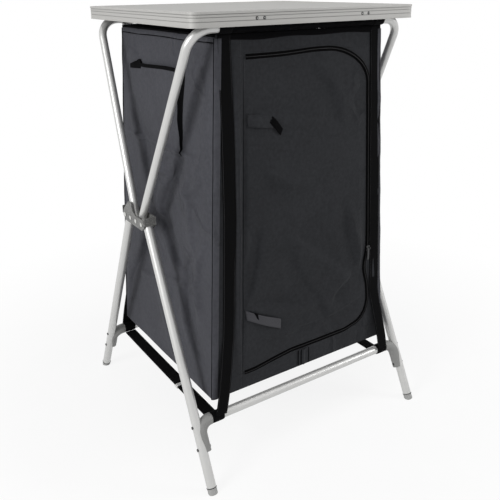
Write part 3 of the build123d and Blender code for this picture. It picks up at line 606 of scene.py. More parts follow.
def make_object(name: str, vertices: Any, faces: Sequence[Sequence[int]], finish: Finish,
                uv: Optional[np.ndarray] = None, smooth: bool = True) -> Piece:
    """Make a mesh object at the origin.

    Args:
        name: The object's name.
        vertices: Points in metres.
        faces: Vertex numbers of each face.
        finish: The finish it gets.
        uv: One UV pair for each vertex, in metres.
        smooth: Whether faces shade smoothly.

    Returns:
        The object.
    """
    mesh = bpy.data.meshes.new(name)
    mesh.from_pydata([tuple(map(float, v)) for v in vertices], [], [tuple(f) for f in faces])
    if uv is not None:
        layer = mesh.uv_layers.new(name="UVMap")
        numbers = np.zeros(len(mesh.loops), dtype=np.int32)
        mesh.loops.foreach_get("vertex_index", numbers)
        layer.data.foreach_set("uv", np.asarray(uv, dtype=np.float32)[numbers].ravel())
    mesh.polygons.foreach_set("use_smooth", [smooth] * len(mesh.polygons))
    mesh.materials.append(finish.material())
    mesh.update()
    return add_object(name, mesh)


def join(name: str, objects: Sequence[Piece]) -> Piece:
    """Join several objects into one mesh object.

    Args:
        name: The joined object's name.
        objects: The objects, which are used up.

    Returns:
        The joined object.
    """
    bpy.ops.object.select_all(action="DESELECT")
    for obj in objects:
        obj.select_set(True)
    bpy.context.view_layer.objects.active = objects[0]
    if len(objects) > 1:
        bpy.ops.object.join()
    joined = bpy.context.view_layer.objects.active
    joined.name = name
    joined.data.name = name
    return joined


def shell(name: str, points: np.ndarray, inward: Any, finish: Finish, uv: np.ndarray) -> Piece:
    """Make a closed sheet from a grid of points on its outer side.

    Args:
        name: The object's name.
        points: Grid of points, rows by columns by three.
        inward: Step from the outer to the inner side.
        finish: The finish it gets.
        uv: Grid of UV pairs in metres.

    Returns:
        The object.
    """
    rows, columns = points.shape[:2]
    count = rows * columns
    number = np.arange(count).reshape(rows, columns)
    corners = (number[:-1, :-1], number[:-1, 1:], number[1:, 1:], number[1:, :-1])
    quads = np.stack(corners, axis=-1).reshape(-1, 4)
    normal = np.cross(points[0, 1] - points[0, 0], points[1, 0] - points[0, 0])
    flip = float(normal @ np.asarray(inward)) > 0
    if flip:
        quads = quads[:, ::-1]
    faces = quads.tolist() + (quads[:, ::-1] + count).tolist()
    rim = np.concatenate([number[0], number[1:, -1], number[-1, -2::-1], number[-2:0:-1, 0]]).tolist()
    for first, second in zip(rim, rim[1:] + rim[:1]):
        side = (second, first, first + count, second + count)
        faces.append(side[::-1] if flip else side)
    both = np.vstack([points.reshape(-1, 3), (points + np.asarray(inward)).reshape(-1, 3)])
    return make_object(name, both, faces, finish, np.tile(uv.reshape(-1, 2), (2, 1)))


def ring_faces(rings: int, sides: int, closed: bool = False) -> List[Tuple[int, ...]]:
    """Faces between rings of points, each ring with the same number of sides.

    Args:
        rings: How many rings.
        sides: Points in each.
        closed: Whether the last ring meets the first.

    Returns:
        The faces.
    """
    faces = []
    for i in range(rings if closed else rings - 1):
        here, there = i * sides, (i + 1) % rings * sides
        for j in range(sides):
            k = (j + 1) % sides
            faces.append((here + j, here + k, there + k, there + j))
    return faces


def band_round_bar(name: str, x: np.ndarray, outer: np.ndarray, inner: float, bar: Point2, girth: float,
                   finish: Finish) -> Piece:
    """A closed band of cloth or webbing round a level bar.

    Args:
        name: The object's name.
        x: Places along the bar.
        outer: Outer radius at each place and angle.
        inner: Inner radius.
        bar: The bar's middle along Y and its height.
        girth: The radius at which the cloth's flat map is measured.
        finish: Its finish.

    Returns:
        The band.
    """
    angles = circle(outer.shape[1])
    places = np.concatenate([x, x[::-1]])[:, None]
    radius = np.vstack([outer, np.full(outer.shape, inner)])
    points = grid(places, bar[0] + radius * np.cos(angles), bar[1] + radius * np.sin(angles))
    faces = ring_faces(len(places), len(angles), closed=True)
    uv = grid(places - x.mean(), angles * girth)
    return make_object(name, points.reshape(-1, 3), faces, finish, uv.reshape(-1, 2))


def tube(name: str, path: np.ndarray, radius: float, finish: Finish, sides: int = 8) -> Piece:
    """A closed round tube along a path.

    Args:
        name: The object's name.
        path: Points in metres.
        radius: The tube's radius.
        finish: Its finish.
        sides: Faces round the tube.

    Returns:
        The tube.
    """
    run = np.gradient(path, axis=0)
    run /= np.linalg.norm(run, axis=1)[:, None]
    guide = np.eye(3)[int(np.argmin(np.abs(run).max(axis=0)))]
    first = np.cross(run, guide)
    first /= np.linalg.norm(first, axis=1)[:, None]
    second = np.cross(run, first)
    angles = circle(sides)
    turns = np.cos(angles)[:, None] * first[:, None, :] + np.sin(angles)[:, None] * second[:, None, :]
    rings = path[:, None, :] + radius * turns
    faces = ring_faces(len(path), sides)
    last = (len(path) - 1) * sides
    faces += [tuple(range(sides))[::-1], tuple(range(last, last + sides))]
    uv = grid(angles * radius, run_lengths(path)[:, None])
    return make_object(name, rings.reshape(-1, 3), faces, finish, uv.reshape(-1, 2))


def strip(name: str, first: np.ndarray, second: np.ndarray, thickness: float, finish: Finish,
          columns: int = 4) -> Piece:
    """A thin strip between two edges, lying on the front or rear face.

    Args:
        name: The object's name.
        first: Points of one edge.
        second: Points of the other edge.
        thickness: Its thickness, outwards from the edges.
        finish: Its finish.
        columns: Columns between the edges.

    Returns:
        The strip.
    """
    t = np.linspace(0, 1, columns)[None, :, None]
    points = first[:, None, :] * (1 - t) + second[:, None, :] * t
    width = np.linalg.norm(second - first, axis=1)
    uv = grid((t[..., 0] - 0.5) * width[:, None], run_lengths(first)[:, None])
    outward = np.array([0.0, math.copysign(thickness, float(points[..., 1].mean())), 0.0])
    return shell(name, points + outward, -outward, finish, uv)


def smooth_line(points: Sequence[Sequence[float]], steps: int = 8) -> np.ndarray:
    """A smooth line through chosen points.

    Args:
        points: The points, in two or three dimensions.
        steps: Steps between neighbours.

    Returns:
        The finer points.
    """
    p = np.asarray(points, dtype=float)
    if len(p) < 3:
        return np.linspace(p[0], p[-1], steps + 1)
    ends = np.vstack([2 * p[0] - p[1], p, 2 * p[-1] - p[-2]])
    t = np.linspace(0, 1, steps, endpoint=False)[:, None]
    parts = []
    for i in range(1, len(ends) - 2):
        p0, p1, p2, p3 = ends[i - 1:i + 3]
        parts.append(0.5 * (2 * p1 + (p2 - p0) * t + (2 * p0 - 5 * p1 + 4 * p2 - p3) * t ** 2
                            + (3 * p1 - p0 - 3 * p2 + p3) * t ** 3))
    return np.vstack(parts + [p[-1:]])


@dataclass(frozen=True)
class Crease:
    """A fold of cloth that follows a line across a face.

    The line's points are along the face and up. Height is outwards, and the side value lifts one
    side of the line and lowers the other. All are in millimetres.
    """

    line: Tuple[Point2, ...]
    height: float
    width: float
    side: float = 0.0
    lean_steepness: float = 0.4
    lean_reach: float = 1.9
    end_taper: float = 5.0

    def depth(self, a: np.ndarray, z: np.ndarray) -> np.ndarray:
        """How far the fold moves the cloth outwards.

        Args:
            a: Places along the face in metres.
            z: Heights in metres.

        Returns:
            The depth at each place, in metres.
        """
        line = smooth_line(self.line) / 1000.0
        best = np.full(a.shape, 9.0)
        signed = np.zeros(a.shape)
        share = np.zeros(a.shape)
        total = len(line) - 1
        for index in range(total):
            start, run = line[index], line[index + 1] - line[index]
            length = float(run @ run)
            t = np.clip(((a - start[0]) * run[0] + (z - start[1]) * run[1]) / length, 0, 1)
            da, dz = a - (start[0] + t * run[0]), z - (start[1] + t * run[1])
            gap = np.hypot(da, dz)
            cross = (run[0] * dz - run[1] * da) / math.sqrt(length)
            nearer = gap < best
            best = np.where(nearer, gap, best)
            signed = np.where(nearer, cross, signed)
            share = np.where(nearer, (index + t) / total, share)
        reach = self.width / 1000.0
        body = np.exp(-(best / reach) ** 2)
        taper = np.clip(np.minimum(share, 1 - share) * self.end_taper, 0, 1)
        lean = np.tanh(signed / (self.lean_steepness * reach))
        lean *= np.exp(-(best / (self.lean_reach * reach)) ** 2)
        return (self.height * body + self.side * lean) / 1000.0 * taper


def ripples(a: np.ndarray, z: np.ndarray, size: float, seed: int, octaves: int = 3) -> np.ndarray:
    """Gentle waves in every direction, from a fixed seed.

    Args:
        a: Places along the face in metres.
        z: Heights in metres.
        size: The longest wave in metres.
        seed: The seed.
        octaves: How many times the waves get half as long.

    Returns:
        A value of about -1 to 1 at each place.
    """
    rng = np.random.default_rng(seed)
    waves = 5
    total = np.zeros(a.shape)
    for octave in range(octaves):
        for _ in range(waves):
            angle, phase = rng.uniform(0, 2 * math.pi, 2)
            rate = 2 * math.pi / (size / 2 ** octave) * rng.uniform(0.7, 1.3)
            total += np.sin((a * math.cos(angle) + z * math.sin(angle)) * rate + phase) / 2 ** octave
    return total / waves


# Repeated pieces made with Geometry Nodes


@dataclass(frozen=True)
class Repeater:
    """A small piece repeated by a geometry tree. Each kind names its tree, its sizes and its points."""

    def layout(self, graph: Graph, inputs: Any) -> Tuple[Any, Any, Any, Any]:
        """Points, their turn, the piece to repeat and its size."""
        raise NotImplementedError

    def label(self) -> str:
        """The name of this kind's tree."""
        raise NotImplementedError

    def sizes(self) -> Dict[str, float]:
        """The sizes of one piece, by input name."""
        raise NotImplementedError

    def tree(self) -> Tree:
        """The geometry tree, built once for each kind.

        Returns:
            The tree.
        """
        found = bpy.data.node_groups.get(self.label())
        if found is not None:
            return found
        tree = bpy.data.node_groups.new(self.label(), "GeometryNodeTree")
        kinds = {"Geometry": "NodeSocketGeometry", **dict.fromkeys(self.sizes(), "NodeSocketFloat"),
                 "Finish": "NodeSocketMaterial"}
        for name, kind in kinds.items():
            tree.interface.new_socket(name=name, in_out="INPUT", socket_type=kind)
        tree.interface.new_socket(name="Geometry", in_out="OUTPUT", socket_type="NodeSocketGeometry")
        graph = Graph(tree)
        inputs = graph.node("NodeGroupInput").outputs
        points, turn, piece, size = self.layout(graph, inputs)
        placed = graph.node("GeometryNodeInstanceOnPoints", None,
                            {"Points": points, "Instance": piece, "Rotation": turn, "Scale": size}).outputs[0]
        real = graph.node("GeometryNodeRealizeInstances", None, {0: placed}).outputs[0]
        painted = graph.node("GeometryNodeSetMaterial", None,
                             {"Geometry": real, "Material": inputs["Finish"]}).outputs[0]
        graph.node("NodeGroupOutput", None, {0: painted})
        return tree

    def bake(self, name: str, mesh: bpy.types.Mesh, finish: Finish) -> Piece:
        """Repeat the piece and keep the result as a plain mesh.

        Args:
            name: The new object's name.
            mesh: The path or the points.
            finish: The finish of the pieces.

        Returns:
            The baked object.
        """
        source = add_object(name + "_source", mesh)
        modifier = source.modifiers.new("repeat", "NODES")
        modifier.node_group = self.tree()
        values = {**self.sizes(), "Finish": finish.material()}
        for item in modifier.node_group.interface.items_tree:
            if item.item_type == "SOCKET" and item.in_out == "INPUT" and item.name in values:
                modifier[item.identifier] = values[item.name]
        graph = bpy.context.evaluated_depsgraph_get()
        graph.update()
        baked = bpy.data.meshes.new_from_object(source.evaluated_get(graph))
        baked.name = name
        bpy.data.objects.remove(source)
        return add_object(name, baked)


class StampShape(Enum):
    """What is repeated along a path."""

    STITCH = "stitch"
    TOOTH = "tooth"


@dataclass(frozen=True)
class PathStamps(Repeater):
    """Small pieces repeated along a path, such as stitches or zip teeth."""

    pitch: float
    length: float
    width: float
    height: float
    shape: StampShape = StampShape.STITCH

    def label(self) -> str:
        """The name of this kind's tree."""
        return "repeat_" + self.shape.value

    def sizes(self) -> Dict[str, float]:
        """The sizes of one piece, by input name."""
        return {"Pitch": self.pitch, "Length": self.length, "Width": self.width, "Height": self.height}

    def layout(self, graph: Graph, inputs: Any) -> Tuple[Any, Any, Any, Any]:
        """A ball or a block at even steps along the path.

        Args:
            graph: The tree's graph.
            inputs: The tree's inputs.

        Returns:
            The points, their turn, the piece to repeat and its size.
        """
        curve = graph.node("GeometryNodeMeshToCurve", None, {0: inputs["Geometry"]}).outputs[0]
        points = graph.node("GeometryNodeCurveToPoints", {"mode": "LENGTH"},
                            {"Curve": curve, "Length": inputs["Pitch"]}).outputs
        if self.shape is StampShape.STITCH:
            piece = graph.node("GeometryNodeMeshUVSphere", None, {"Segments": 6, "Rings": 4, "Radius": 0.5})
        else:
            piece = graph.node("GeometryNodeMeshCube", None, {"Size": (1.0, 1.0, 1.0)})
        size = graph.node("ShaderNodeCombineXYZ", None,
                          {0: inputs["Width"], 1: inputs["Height"], 2: inputs["Length"]}).outputs[0]
        return points["Points"], points["Rotation"], piece.outputs[0], size

    def along(self, name: str, paths: Sequence[np.ndarray], finish: Finish) -> Piece:
        """Repeat the shape along paths.

        Args:
            name: The new object's name.
            paths: Each an array of points in metres.
            finish: The finish of the pieces.

        Returns:
            The baked object.
        """
        edges: List[Tuple[int, int]] = []
        first = 0
        for path in paths:
            edges += [(i, i + 1) for i in range(first, first + len(path) - 1)]
            first += len(path)
        mesh = bpy.data.meshes.new(name + "_path")
        mesh.from_pydata(np.vstack(paths).tolist(), edges, [])
        return self.bake(name, mesh, finish)


TEETH = PathStamps(pitch=0.0026, length=0.0013, width=0.0030, height=0.0016, shape=StampShape.TOOTH)
STITCHES = PathStamps(pitch=0.0042, length=0.0030, width=0.0007, height=0.0005)


@dataclass(frozen=True)
class DomedHeads(Repeater):
    """Domed rivet heads, each with a thin flange, at given places."""

    radius: float
    rise: float

    def label(self) -> str:
        """The name of this kind's tree."""
        return "repeat_domed_head"

    def sizes(self) -> Dict[str, float]:
        """The sizes of one head, by input name."""
        return {"Radius": self.radius, "Rise": self.rise}

    def layout(self, graph: Graph, inputs: Any) -> Tuple[Any, Any, Any, Any]:
        """A dome on a flange at each point, turned to face outwards.

        Args:
            graph: The tree's graph.
            inputs: The tree's inputs.

        Returns:
            The points, their turn, the piece to repeat and its size.
        """
        points = graph.node("GeometryNodeMeshToPoints", None, {0: inputs["Geometry"]}).outputs[0]
        facing = graph.node("GeometryNodeInputNamedAttribute", {"data_type": "FLOAT_VECTOR"},
                            {"Name": "facing"})
        turn = graph.node("FunctionNodeAlignRotationToVector", {"axis": "Z"},
                          {"Vector": facing.outputs[0]}).outputs[0]
        dome = graph.node("GeometryNodeMeshUVSphere", None, {"Segments": 24, "Rings": 12, "Radius": 0.82})
        flange = graph.node("GeometryNodeMeshCylinder", None, {"Vertices": 28, "Radius": 1.0, "Depth": 0.35})
        both = graph.node("GeometryNodeJoinGeometry")
        for part in (dome, flange):
            graph.tree.links.new(part.outputs[0], both.inputs[0])
        head = graph.node("GeometryNodeSetShadeSmooth", None, {0: both.outputs[0]}).outputs[0]
        size = graph.node("ShaderNodeCombineXYZ", None,
                          {0: inputs["Radius"], 1: inputs["Radius"], 2: inputs["Rise"]}).outputs[0]
        return points, turn, head, size

    def at(self, name: str, places: Sequence[Point3], facings: Sequence[Point3],
           finish: Finish) -> Piece:
        """Put a head at each place.

        Args:
            name: The new object's name.
            places: The middles of the heads' undersides.
            facings: The way each head points.
            finish: The finish of the heads.

        Returns:
            The baked object.
        """
        mesh = bpy.data.meshes.new(name + "_points")
        mesh.from_pydata([tuple(p) for p in places], [], [])
        layer = mesh.attributes.new("facing", "FLOAT_VECTOR", "POINT")
        layer.data.foreach_set("vector", np.asarray(facings, dtype=np.float32).ravel())
        return self.bake(name, mesh, finish)


# The cupboard's own shape


@dataclass(frozen=True)
class CupboardShape:
    """The tapered box of cloth, as the solids have it, and how far the zip draws its front up."""

    top: float = 0.996
    bottom: float = 0.184
    top_half_width: float = 0.220
    bottom_half_width: float = 0.264
    top_half_depth: float = 0.228
    bottom_half_depth: float = 0.24603
    wall_top: float = 0.976
    low_rise: float = 0.015
    high_rise: float = 0.005

    def share(self, z: Any) -> Any:
        """Share of the way down from the top."""
        return (self.top - z) / (self.top - self.bottom)

    def half_width(self, z: Any) -> Any:
        """Half width at a height."""
        return self.top_half_width + (self.bottom_half_width - self.top_half_width) * self.share(z)

    def half_depth(self, z: Any) -> Any:
        """Half depth at a height."""
        return self.top_half_depth + (self.bottom_half_depth - self.top_half_depth) * self.share(z)

    def front(self, x: Any, z: Any, out: Any, end: Side = Side.LOW) -> np.ndarray:
        """A point on the front or rear face.

        Args:
            x: Place along X.
            z: Height.
            out: Distance outwards.
            end: Front for LOW, rear for HIGH.

        Returns:
            The points.
        """
        x, z, out = np.broadcast_arrays(x, z, out)
        level = z + self.sway(x, z) if end is Side.LOW else z
        return grid(x, end.value * (self.half_depth(z) + out), level)

    def sway(self, x: np.ndarray, z: np.ndarray) -> np.ndarray:
        """How far the front cloth is drawn up along the zip's two level runs.

        Args:
            x: Places along X.
            z: Heights.

        Returns:
            The rise at each place.
        """
        low = ramp(x, -0.150, -0.040) * ramp(x, 0.205, 0.155)
        low = low * ramp(z, self.bottom, DOOR.bottom) * ramp(z, 0.330, DOOR.bottom)
        high = np.exp(-((x - 0.040) / 0.070) ** 2) * ramp(z, 0.850, DOOR.top) * ramp(z, self.top, DOOR.top)
        return self.low_rise * low + self.high_rise * high

    def side(self, y: Any, z: Any, out: Any, end: Side = Side.LOW) -> np.ndarray:
        """A point on the left or right face.

        Args:
            y: Place along Y.
            z: Height.
            out: Distance outwards.
            end: Left for LOW, right for HIGH.

        Returns:
            The points.
        """
        return grid(end.value * (self.half_width(z) + out), y, z)


BOX = CupboardShape()
# Thickness of the panels and walls, how far a fold may sink in, and how far the walls stand off the solids.
CLOTH = 0.0016
DEEPEST = -0.0004
SIDE_STAND = 0.0010
# Half the width of the black bands along the top, and the thickness of bands and ribbons.
BAND_HALF = 0.2165
BAND_PLY = 0.0009


@dataclass
class DoorOutline:
    """The door's outline on the front face: straight at its hinge, rounded at the zip side."""

    top: float = 0.949
    bottom: float = 0.226
    hinge_top: float = -0.1579
    hinge_bottom: float = -0.1819
    right_top: float = 0.1837
    right_bottom: float = 0.2124
    top_radius: float = 0.080
    top_reach: float = 0.115
    bottom_radius: float = 0.090
    knee_height: float = 0.400
    knee_reach: float = 0.040
    knee_pull: float = 0.012
    gap: float = 0.0006
    zip_start: float = 0.006
    tape_reach: float = 0.0052
    tape_ply: float = 0.0008
    woven_lift: float = 0.0005
    coil_edge_lift: float = 0.0009

    def from_bottom(self, low: float, high: float, z: Any) -> Any:
        """A straight line between its places at the door's bottom and top."""
        return low + (high - low) * (z - self.bottom) / (self.top - self.bottom)

    def left(self, z: Any) -> Any:
        """The hinge line at a height."""
        return self.from_bottom(self.hinge_bottom, self.hinge_top, z)

    def straight(self, z: Any) -> Any:
        """The zip's right run at a height, pulled in at its knee, before its corners are rounded."""
        pull = self.knee_pull * np.exp(-((z - self.knee_height) / self.knee_reach) ** 2)
        return self.from_bottom(self.right_bottom, self.right_top, z) - pull

    def right(self, z: Any) -> Any:
        """The zip's line at a height, corners rounded.

        Args:
            z: Heights.

        Returns:
            Places along X.
        """
        up = ramp(z, self.top - self.top_radius, self.top)
        down = ramp(z, self.bottom + self.bottom_radius, self.bottom)
        edge = self.straight(z) - self.top_reach * (1 - np.sqrt(1 - up ** 2))
        return edge - self.bottom_radius * (1 - np.sqrt(1 - down ** 2))

    def heights(self) -> np.ndarray:
        """Heights from bottom to top, close together where the corners turn.

        Returns:
            The heights.
        """
        low = self.bottom + self.bottom_radius * (1 - np.cos(np.linspace(0, math.pi / 2, 24)))
        high = self.top - self.top_radius * (1 - np.cos(np.linspace(math.pi / 2, 0, 20)))
        middle = np.linspace(low[-1], high[0], 110)[1:-1]
        return np.concatenate([low, middle, high])

    def zip_path(self, shift: float, lift: float) -> np.ndarray:
        """The zip's line from the hinge's top, round the door, to the hinge's bottom.

        Args:
            shift: Distance outwards from the door's edge, in the face.
            lift: Distance outwards from the cloth.

        Returns:
            The points.
        """
        z = self.heights()[::-1]
        x = self.right(z)
        top_run = np.linspace(self.left(self.top) + self.zip_start, x[0], 40)[:-1]
        bottom_run = np.linspace(x[-1], self.left(self.bottom) + self.zip_start, 40)[1:]
        flat = np.vstack([grid(top_run, self.top), grid(x, z), grid(bottom_run, self.bottom)])
        run = np.gradient(flat, axis=0)
        run /= np.linalg.norm(run, axis=1)[:, None]
        flat = flat + grid(-run[:, 1], run[:, 0]) * shift
        return on_front(flat[:, 0], flat[:, 1], lift)


DOOR = DoorOutline()

FRONT_CREASES = (
    Crease(((120, 600), (152, 487), (180, 400), (200, 330)), 5.0, 16, 7.5),
    Crease(((-180, 965), (-182, 760), (-186, 553), (-189, 420), (-197, 250)), 6.2, 6, 2.2),
    Crease(((-118, 590), (-137, 488), (-163, 400)), -2.5, 17, 7.0),
    Crease(((-160, 392), (-100, 372), (-29, 358), (100, 345)), 3.5, 14, -6.5),
    Crease(((-146, 829), (-71, 822), (40, 800)), 3.0, 13, -5.5),
    Crease(((-58, 561), (3, 502), (81, 441), (190, 358)), 3.5, 20, -7.0),
    Crease(((-40, 520), (-10, 430), (60, 330), (70, 270)), -2.5, 22, 6.0),
    Crease(((10, 925), (80, 860), (110, 760)), 3.0, 22, 6.0),
    Crease(((-120, 700), (-60, 660), (30, 650)), 2.5, 20, 5.5),
    Crease(((-37, 295), (45, 288), (124, 295), (192, 318)), -2.5, 13, 6.5),
    Crease(((83, 338), (135, 379), (195, 413)), -2.0, 15, 6.0),
    Crease(((-150, 300), (-60, 275), (60, 285)), -1.9, 13, 4.5),
)

SIDE_CREASES = (
    Crease(((-100, 742), (-83, 711), (-36, 644), (-4, 589), (-17, 557), (-47, 506), (-84, 471), (-119, 460),
            (-126, 396), (-138, 328), (-168, 280), (-224, 253)), -7.2, 17, 10.9),
    Crease(((90, 575), (28, 562), (-23, 553), (-60, 500)), -8.2, 13, -7.4),
    Crease(((185, 835), (137, 771), (97, 731), (92, 685), (86, 610)), -4.6, 16, 7.8),
    Crease(((90, 480), (100, 438), (146, 388), (187, 331), (215, 255)), -6.2, 18, 9.1),
    Crease(((225, 738), (100, 742), (-25, 741), (-105, 738), (-224, 742)), 2.5, 6, 3.0),
    Crease(((235, 352), (60, 385), (-131, 441), (-238, 466)), 2.5, 9, 3.0),
    Crease(((-217, 940), (-175, 890), (-146, 847), (-118, 764)), -4.6, 15, 7.4),
    Crease(((-200, 700), (-150, 655), (-90, 640)), 4.6, 16, 4.8),
    Crease(((20, 420), (-20, 330), (-60, 240), (-70, 200)), 6.2, 30, 5.4),
    Crease(((160, 610), (120, 540), (60, 470), (40, 380)), 5.4, 24, 4.8),
    Crease(((-218, 972), (-200, 950), (-160, 940)), -3.6, 9, 4.8),
    Crease(((200, 960), (150, 940), (120, 930)), -3.6, 12, 4.3),
    Crease(((-215, 560), (-190, 500), (-180, 430), (-200, 350)), 5.4, 16, 5.4),
    Crease(((-120, 690), (-150, 600), (-160, 520)), 5.4, 18, 4.8),
    Crease(((-40, 690), (20, 660), (70, 665)), 4.6, 14, 4.8),
)


@dataclass(frozen=True)
class Fullness:
    """How far the cloth of one face stands out away from its edges. Sizes are in metres."""

    creases: Tuple[Crease, ...]
    belly: float
    wave: float
    wave_size: float
    seed: int

    def depth(self, a: np.ndarray, z: np.ndarray) -> np.ndarray:
        """Its creases, its belly and its small waves together.

        Args:
            a: Places along the face.
            z: Heights.

        Returns:
            The depth at each place.
        """
        total = self.belly * np.sin(ramp(z, BOX.bottom, BOX.top) * math.pi)
        total = total + self.wave * ripples(a, z, self.wave_size, self.seed)
        return sum((crease.depth(a, z) for crease in self.creases), total)


FRONT = Fullness(FRONT_CREASES, belly=0.0040, wave=0.0009, wave_size=0.22, seed=3)
REAR = Fullness((), belly=0.003, wave=0.0028, wave_size=0.34, seed=17)
LEFT = Fullness(SIDE_CREASES, belly=0.0050, wave=0.0014, wave_size=0.25, seed=5)
RIGHT = replace(LEFT, creases=SIDE_CREASES[:2] + SIDE_CREASES[3:6] + SIDE_CREASES[8:], seed=29)


def front_depth(x: Any, z: Any) -> np.ndarray:
    """How far the front cloth stands out at each place.

    Args:
        x: Places along X.
        z: Heights.

    Returns:
        The depth in metres.
    """
    x, z = np.broadcast_arrays(x, z)
    edge = ramp(np.abs(x), BOX.half_width(z), BOX.half_width(z) - 0.03)
    ends = ramp(z, BOX.top, BOX.top - 0.04) * ramp(z, BOX.bottom - 0.012, BOX.bottom + 0.028)
    hinge = np.maximum(ramp(np.abs(x - DOOR.left(z)), 0, 0.010), 0.15)
    # The zip is stiffer than the cloth and holds it flat, so that the slider stays clear.
    zipped = np.maximum(ramp(np.abs(x - DOOR.right(z)), 0.010, 0.030), 0.08)
    return np.maximum(FRONT.depth(x, z) * edge * ends * hinge * zipped, DEEPEST)


def on_front(x: Any, z: Any, lift: Any = 0.0) -> np.ndarray:
    """Points that follow the folds of the front cloth, lifted off it by a distance."""
    return BOX.front(x, z, front_depth(x, z) + lift)


def rear_depth(x: Any, z: Any) -> np.ndarray:
    """How far the rear cloth stands out at each place.

    Args:
        x: Places along X.
        z: Heights.

    Returns:
        The depth in metres.
    """
    x, z = np.broadcast_arrays(x, z)
    edge = ramp(np.abs(x), BOX.half_width(z), BOX.half_width(z) - 0.03)
    return REAR.depth(x, z) * edge * ramp(z, BOX.top, BOX.top - 0.04)


def side_depth(y: Any, z: Any, full: Fullness = LEFT) -> np.ndarray:
    """How far a side wall's cloth stands out at each place.

    Args:
        y: Places along Y.
        z: Heights.
        full: The wall's fullness.

    Returns:
        The depth in metres.
    """
    y, z = np.broadcast_arrays(y, z)
    edge = ramp(np.abs(y), BOX.half_depth(z), BOX.half_depth(z) - 0.035)
    top = np.maximum(ramp(z, BOX.wall_top + 0.01, BOX.wall_top - 0.05), 0.1)
    return np.maximum(full.depth(y, z) * edge * top, DEEPEST) + SIDE_STAND


def on_left(y: Any, z: Any, lift: Any = 0.0) -> np.ndarray:
    """Points that follow the folds of the left wall, lifted off it by a distance."""
    return BOX.side(y, z, side_depth(y, z) + lift)


# Sub-assemblies


def dress(node: str, finish: Finish) -> None:
    """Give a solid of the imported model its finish.

    Args:
        node: The node's name.
        finish: The finish.
    """
    materials = frame["nodes"][node].data.materials
    materials.clear()
    materials.append(finish.material())


@dataclass
class Tabletop:
    """The lift-off top: board, grooved edge profile, seats over the bars and their rivets."""

    rivet_radius: float = 0.0034
    rivet_rise: float = 0.0012
    rivet_height: float = 1.0252
    rivet_face: float = 0.2641
    rivet_steps: Tuple[float, ...] = (-0.147, -0.129, 0.129, 0.147)
    centre_width: float = 0.45
    centre_rise: float = 1.25

    def build(self) -> List[Piece]:
        """Dress the solids and add domed rivets.

        Returns:
            The new pieces.
        """
        for node, finish in (("tabletop_board", BOARD), ("tabletop_edge_frame", EDGE),
                             ("front_bar_clips", SEAT), ("rear_bar_clips", SEAT)):
            dress(node, finish)
        places = [(x, face.value * self.rivet_face, self.rivet_height)
                  for face in Side for x in self.rivet_steps]
        facings = [(0.0, float(face.value), 0.0) for face in Side for _ in self.rivet_steps]
        head = DomedHeads(self.rivet_radius, self.rivet_rise)
        centre = DomedHeads(self.rivet_radius * self.centre_width, self.rivet_rise * self.centre_rise)
        rivets = join("edge_rivets", [head.at("edge_rivet_heads", places, facings, DARK_RIVET),
                                      centre.at("edge_rivet_centres", places, facings, RIVET)])
        return [attach(rivets, "tabletop", "clip_rivets")]


@dataclass
class TubeFrames:
    """The four bent or straight tube frames with their elbows and feet."""

    pin_reach: float = 0.04575
    pin_height: float = 0.567
    foot_reach: float = 0.320
    leg_spread: float = 0.3139
    cap_length: float = 0.0132
    ring_radius: float = 0.0110
    ring_bead: float = 0.0009
    finishes: Tuple[Tuple[Finish, Tuple[str, ...]], ...] = (
        (TUBE, ("upper_tube_left", "upper_tube_right", "top_bar", "leg_left", "leg_right", "crossbar")),
        (ELBOW, ("elbow_left", "elbow_right")),
        (DARK_RIVET, ("elbow_rivets",)),
        (FOOT, ("foot_caps",)),
    )

    def build(self) -> List[Piece]:
        """Dress the solids and add the black rings at the feet, which paint the shade in the gap where each
        leg goes into its cap.

        Returns:
            The new pieces.
        """
        for face in Side:
            for finish, nodes in self.finishes:
                for node in nodes:
                    dress("%s_%s" % (END[face], node), finish)
        return [self.gap_shade_rings(face) for face in Side]

    def gap_shade_rings(self, face: Side) -> Piece:
        """Black rings that paint the shade in the gap where the legs go into the foot caps of one frame.

        Args:
            face: Front for LOW, rear for HIGH.

        Returns:
            The rings.
        """
        lean = (self.foot_reach - self.pin_reach) / self.pin_height
        run = np.array([0.0, face.value * lean, -1.0]) / math.hypot(lean, 1.0)
        across = np.array([1.0, 0.0, 0.0])
        turn = np.linspace(0, 2 * math.pi, 41)[:, None]
        circle_path = self.ring_radius * (np.cos(turn) * across + np.sin(turn) * np.cross(run, across))
        rings = []
        for end in Side:
            foot = np.array([end.value * self.leg_spread, face.value * self.foot_reach, 0.0])
            path = foot - run * self.cap_length + circle_path
            # Painted shade: a thin black ring stands for the shade in the gap at the top of each foot cap.
            rings.append(tube("gap_shade_ring_%s_%d" % (END[face], end.value), path, self.ring_bead, SEAT))
        return attach(join("gap_shade_rings_" + END[face], rings), "lower_%s_frame" % END[face])


@dataclass
class HingeBrackets:
    """The two folding brackets with their rivets."""

    height: float = 0.567
    places: Tuple[float, ...] = (-0.04575, -0.01525, 0.01525, 0.04575)
    face: float = 0.3240
    head_radius: float = 0.0050
    head_rise: float = 0.0019

    def build(self) -> List[Piece]:
        """Dress the shells and put a domed head on each pin.

        Returns:
            The new pieces.
        """
        pieces = []
        for end in Side:
            side = HAND[end]
            for part, finish in (("outer", HINGE), ("inner", HINGE), ("pins", RIVET)):
                dress("%s_bracket_%s" % (side, part), finish)
            places = [(end.value * self.face, y, self.height) for y in self.places]
            facings = [(float(end.value), 0.0, 0.0)] * len(places)
            head = DomedHeads(self.head_radius, self.head_rise)
            heads = head.at(side + "_pin_heads", places, facings, RIVET)
            pieces.append(attach(heads, "hinge_brackets"))
        return pieces


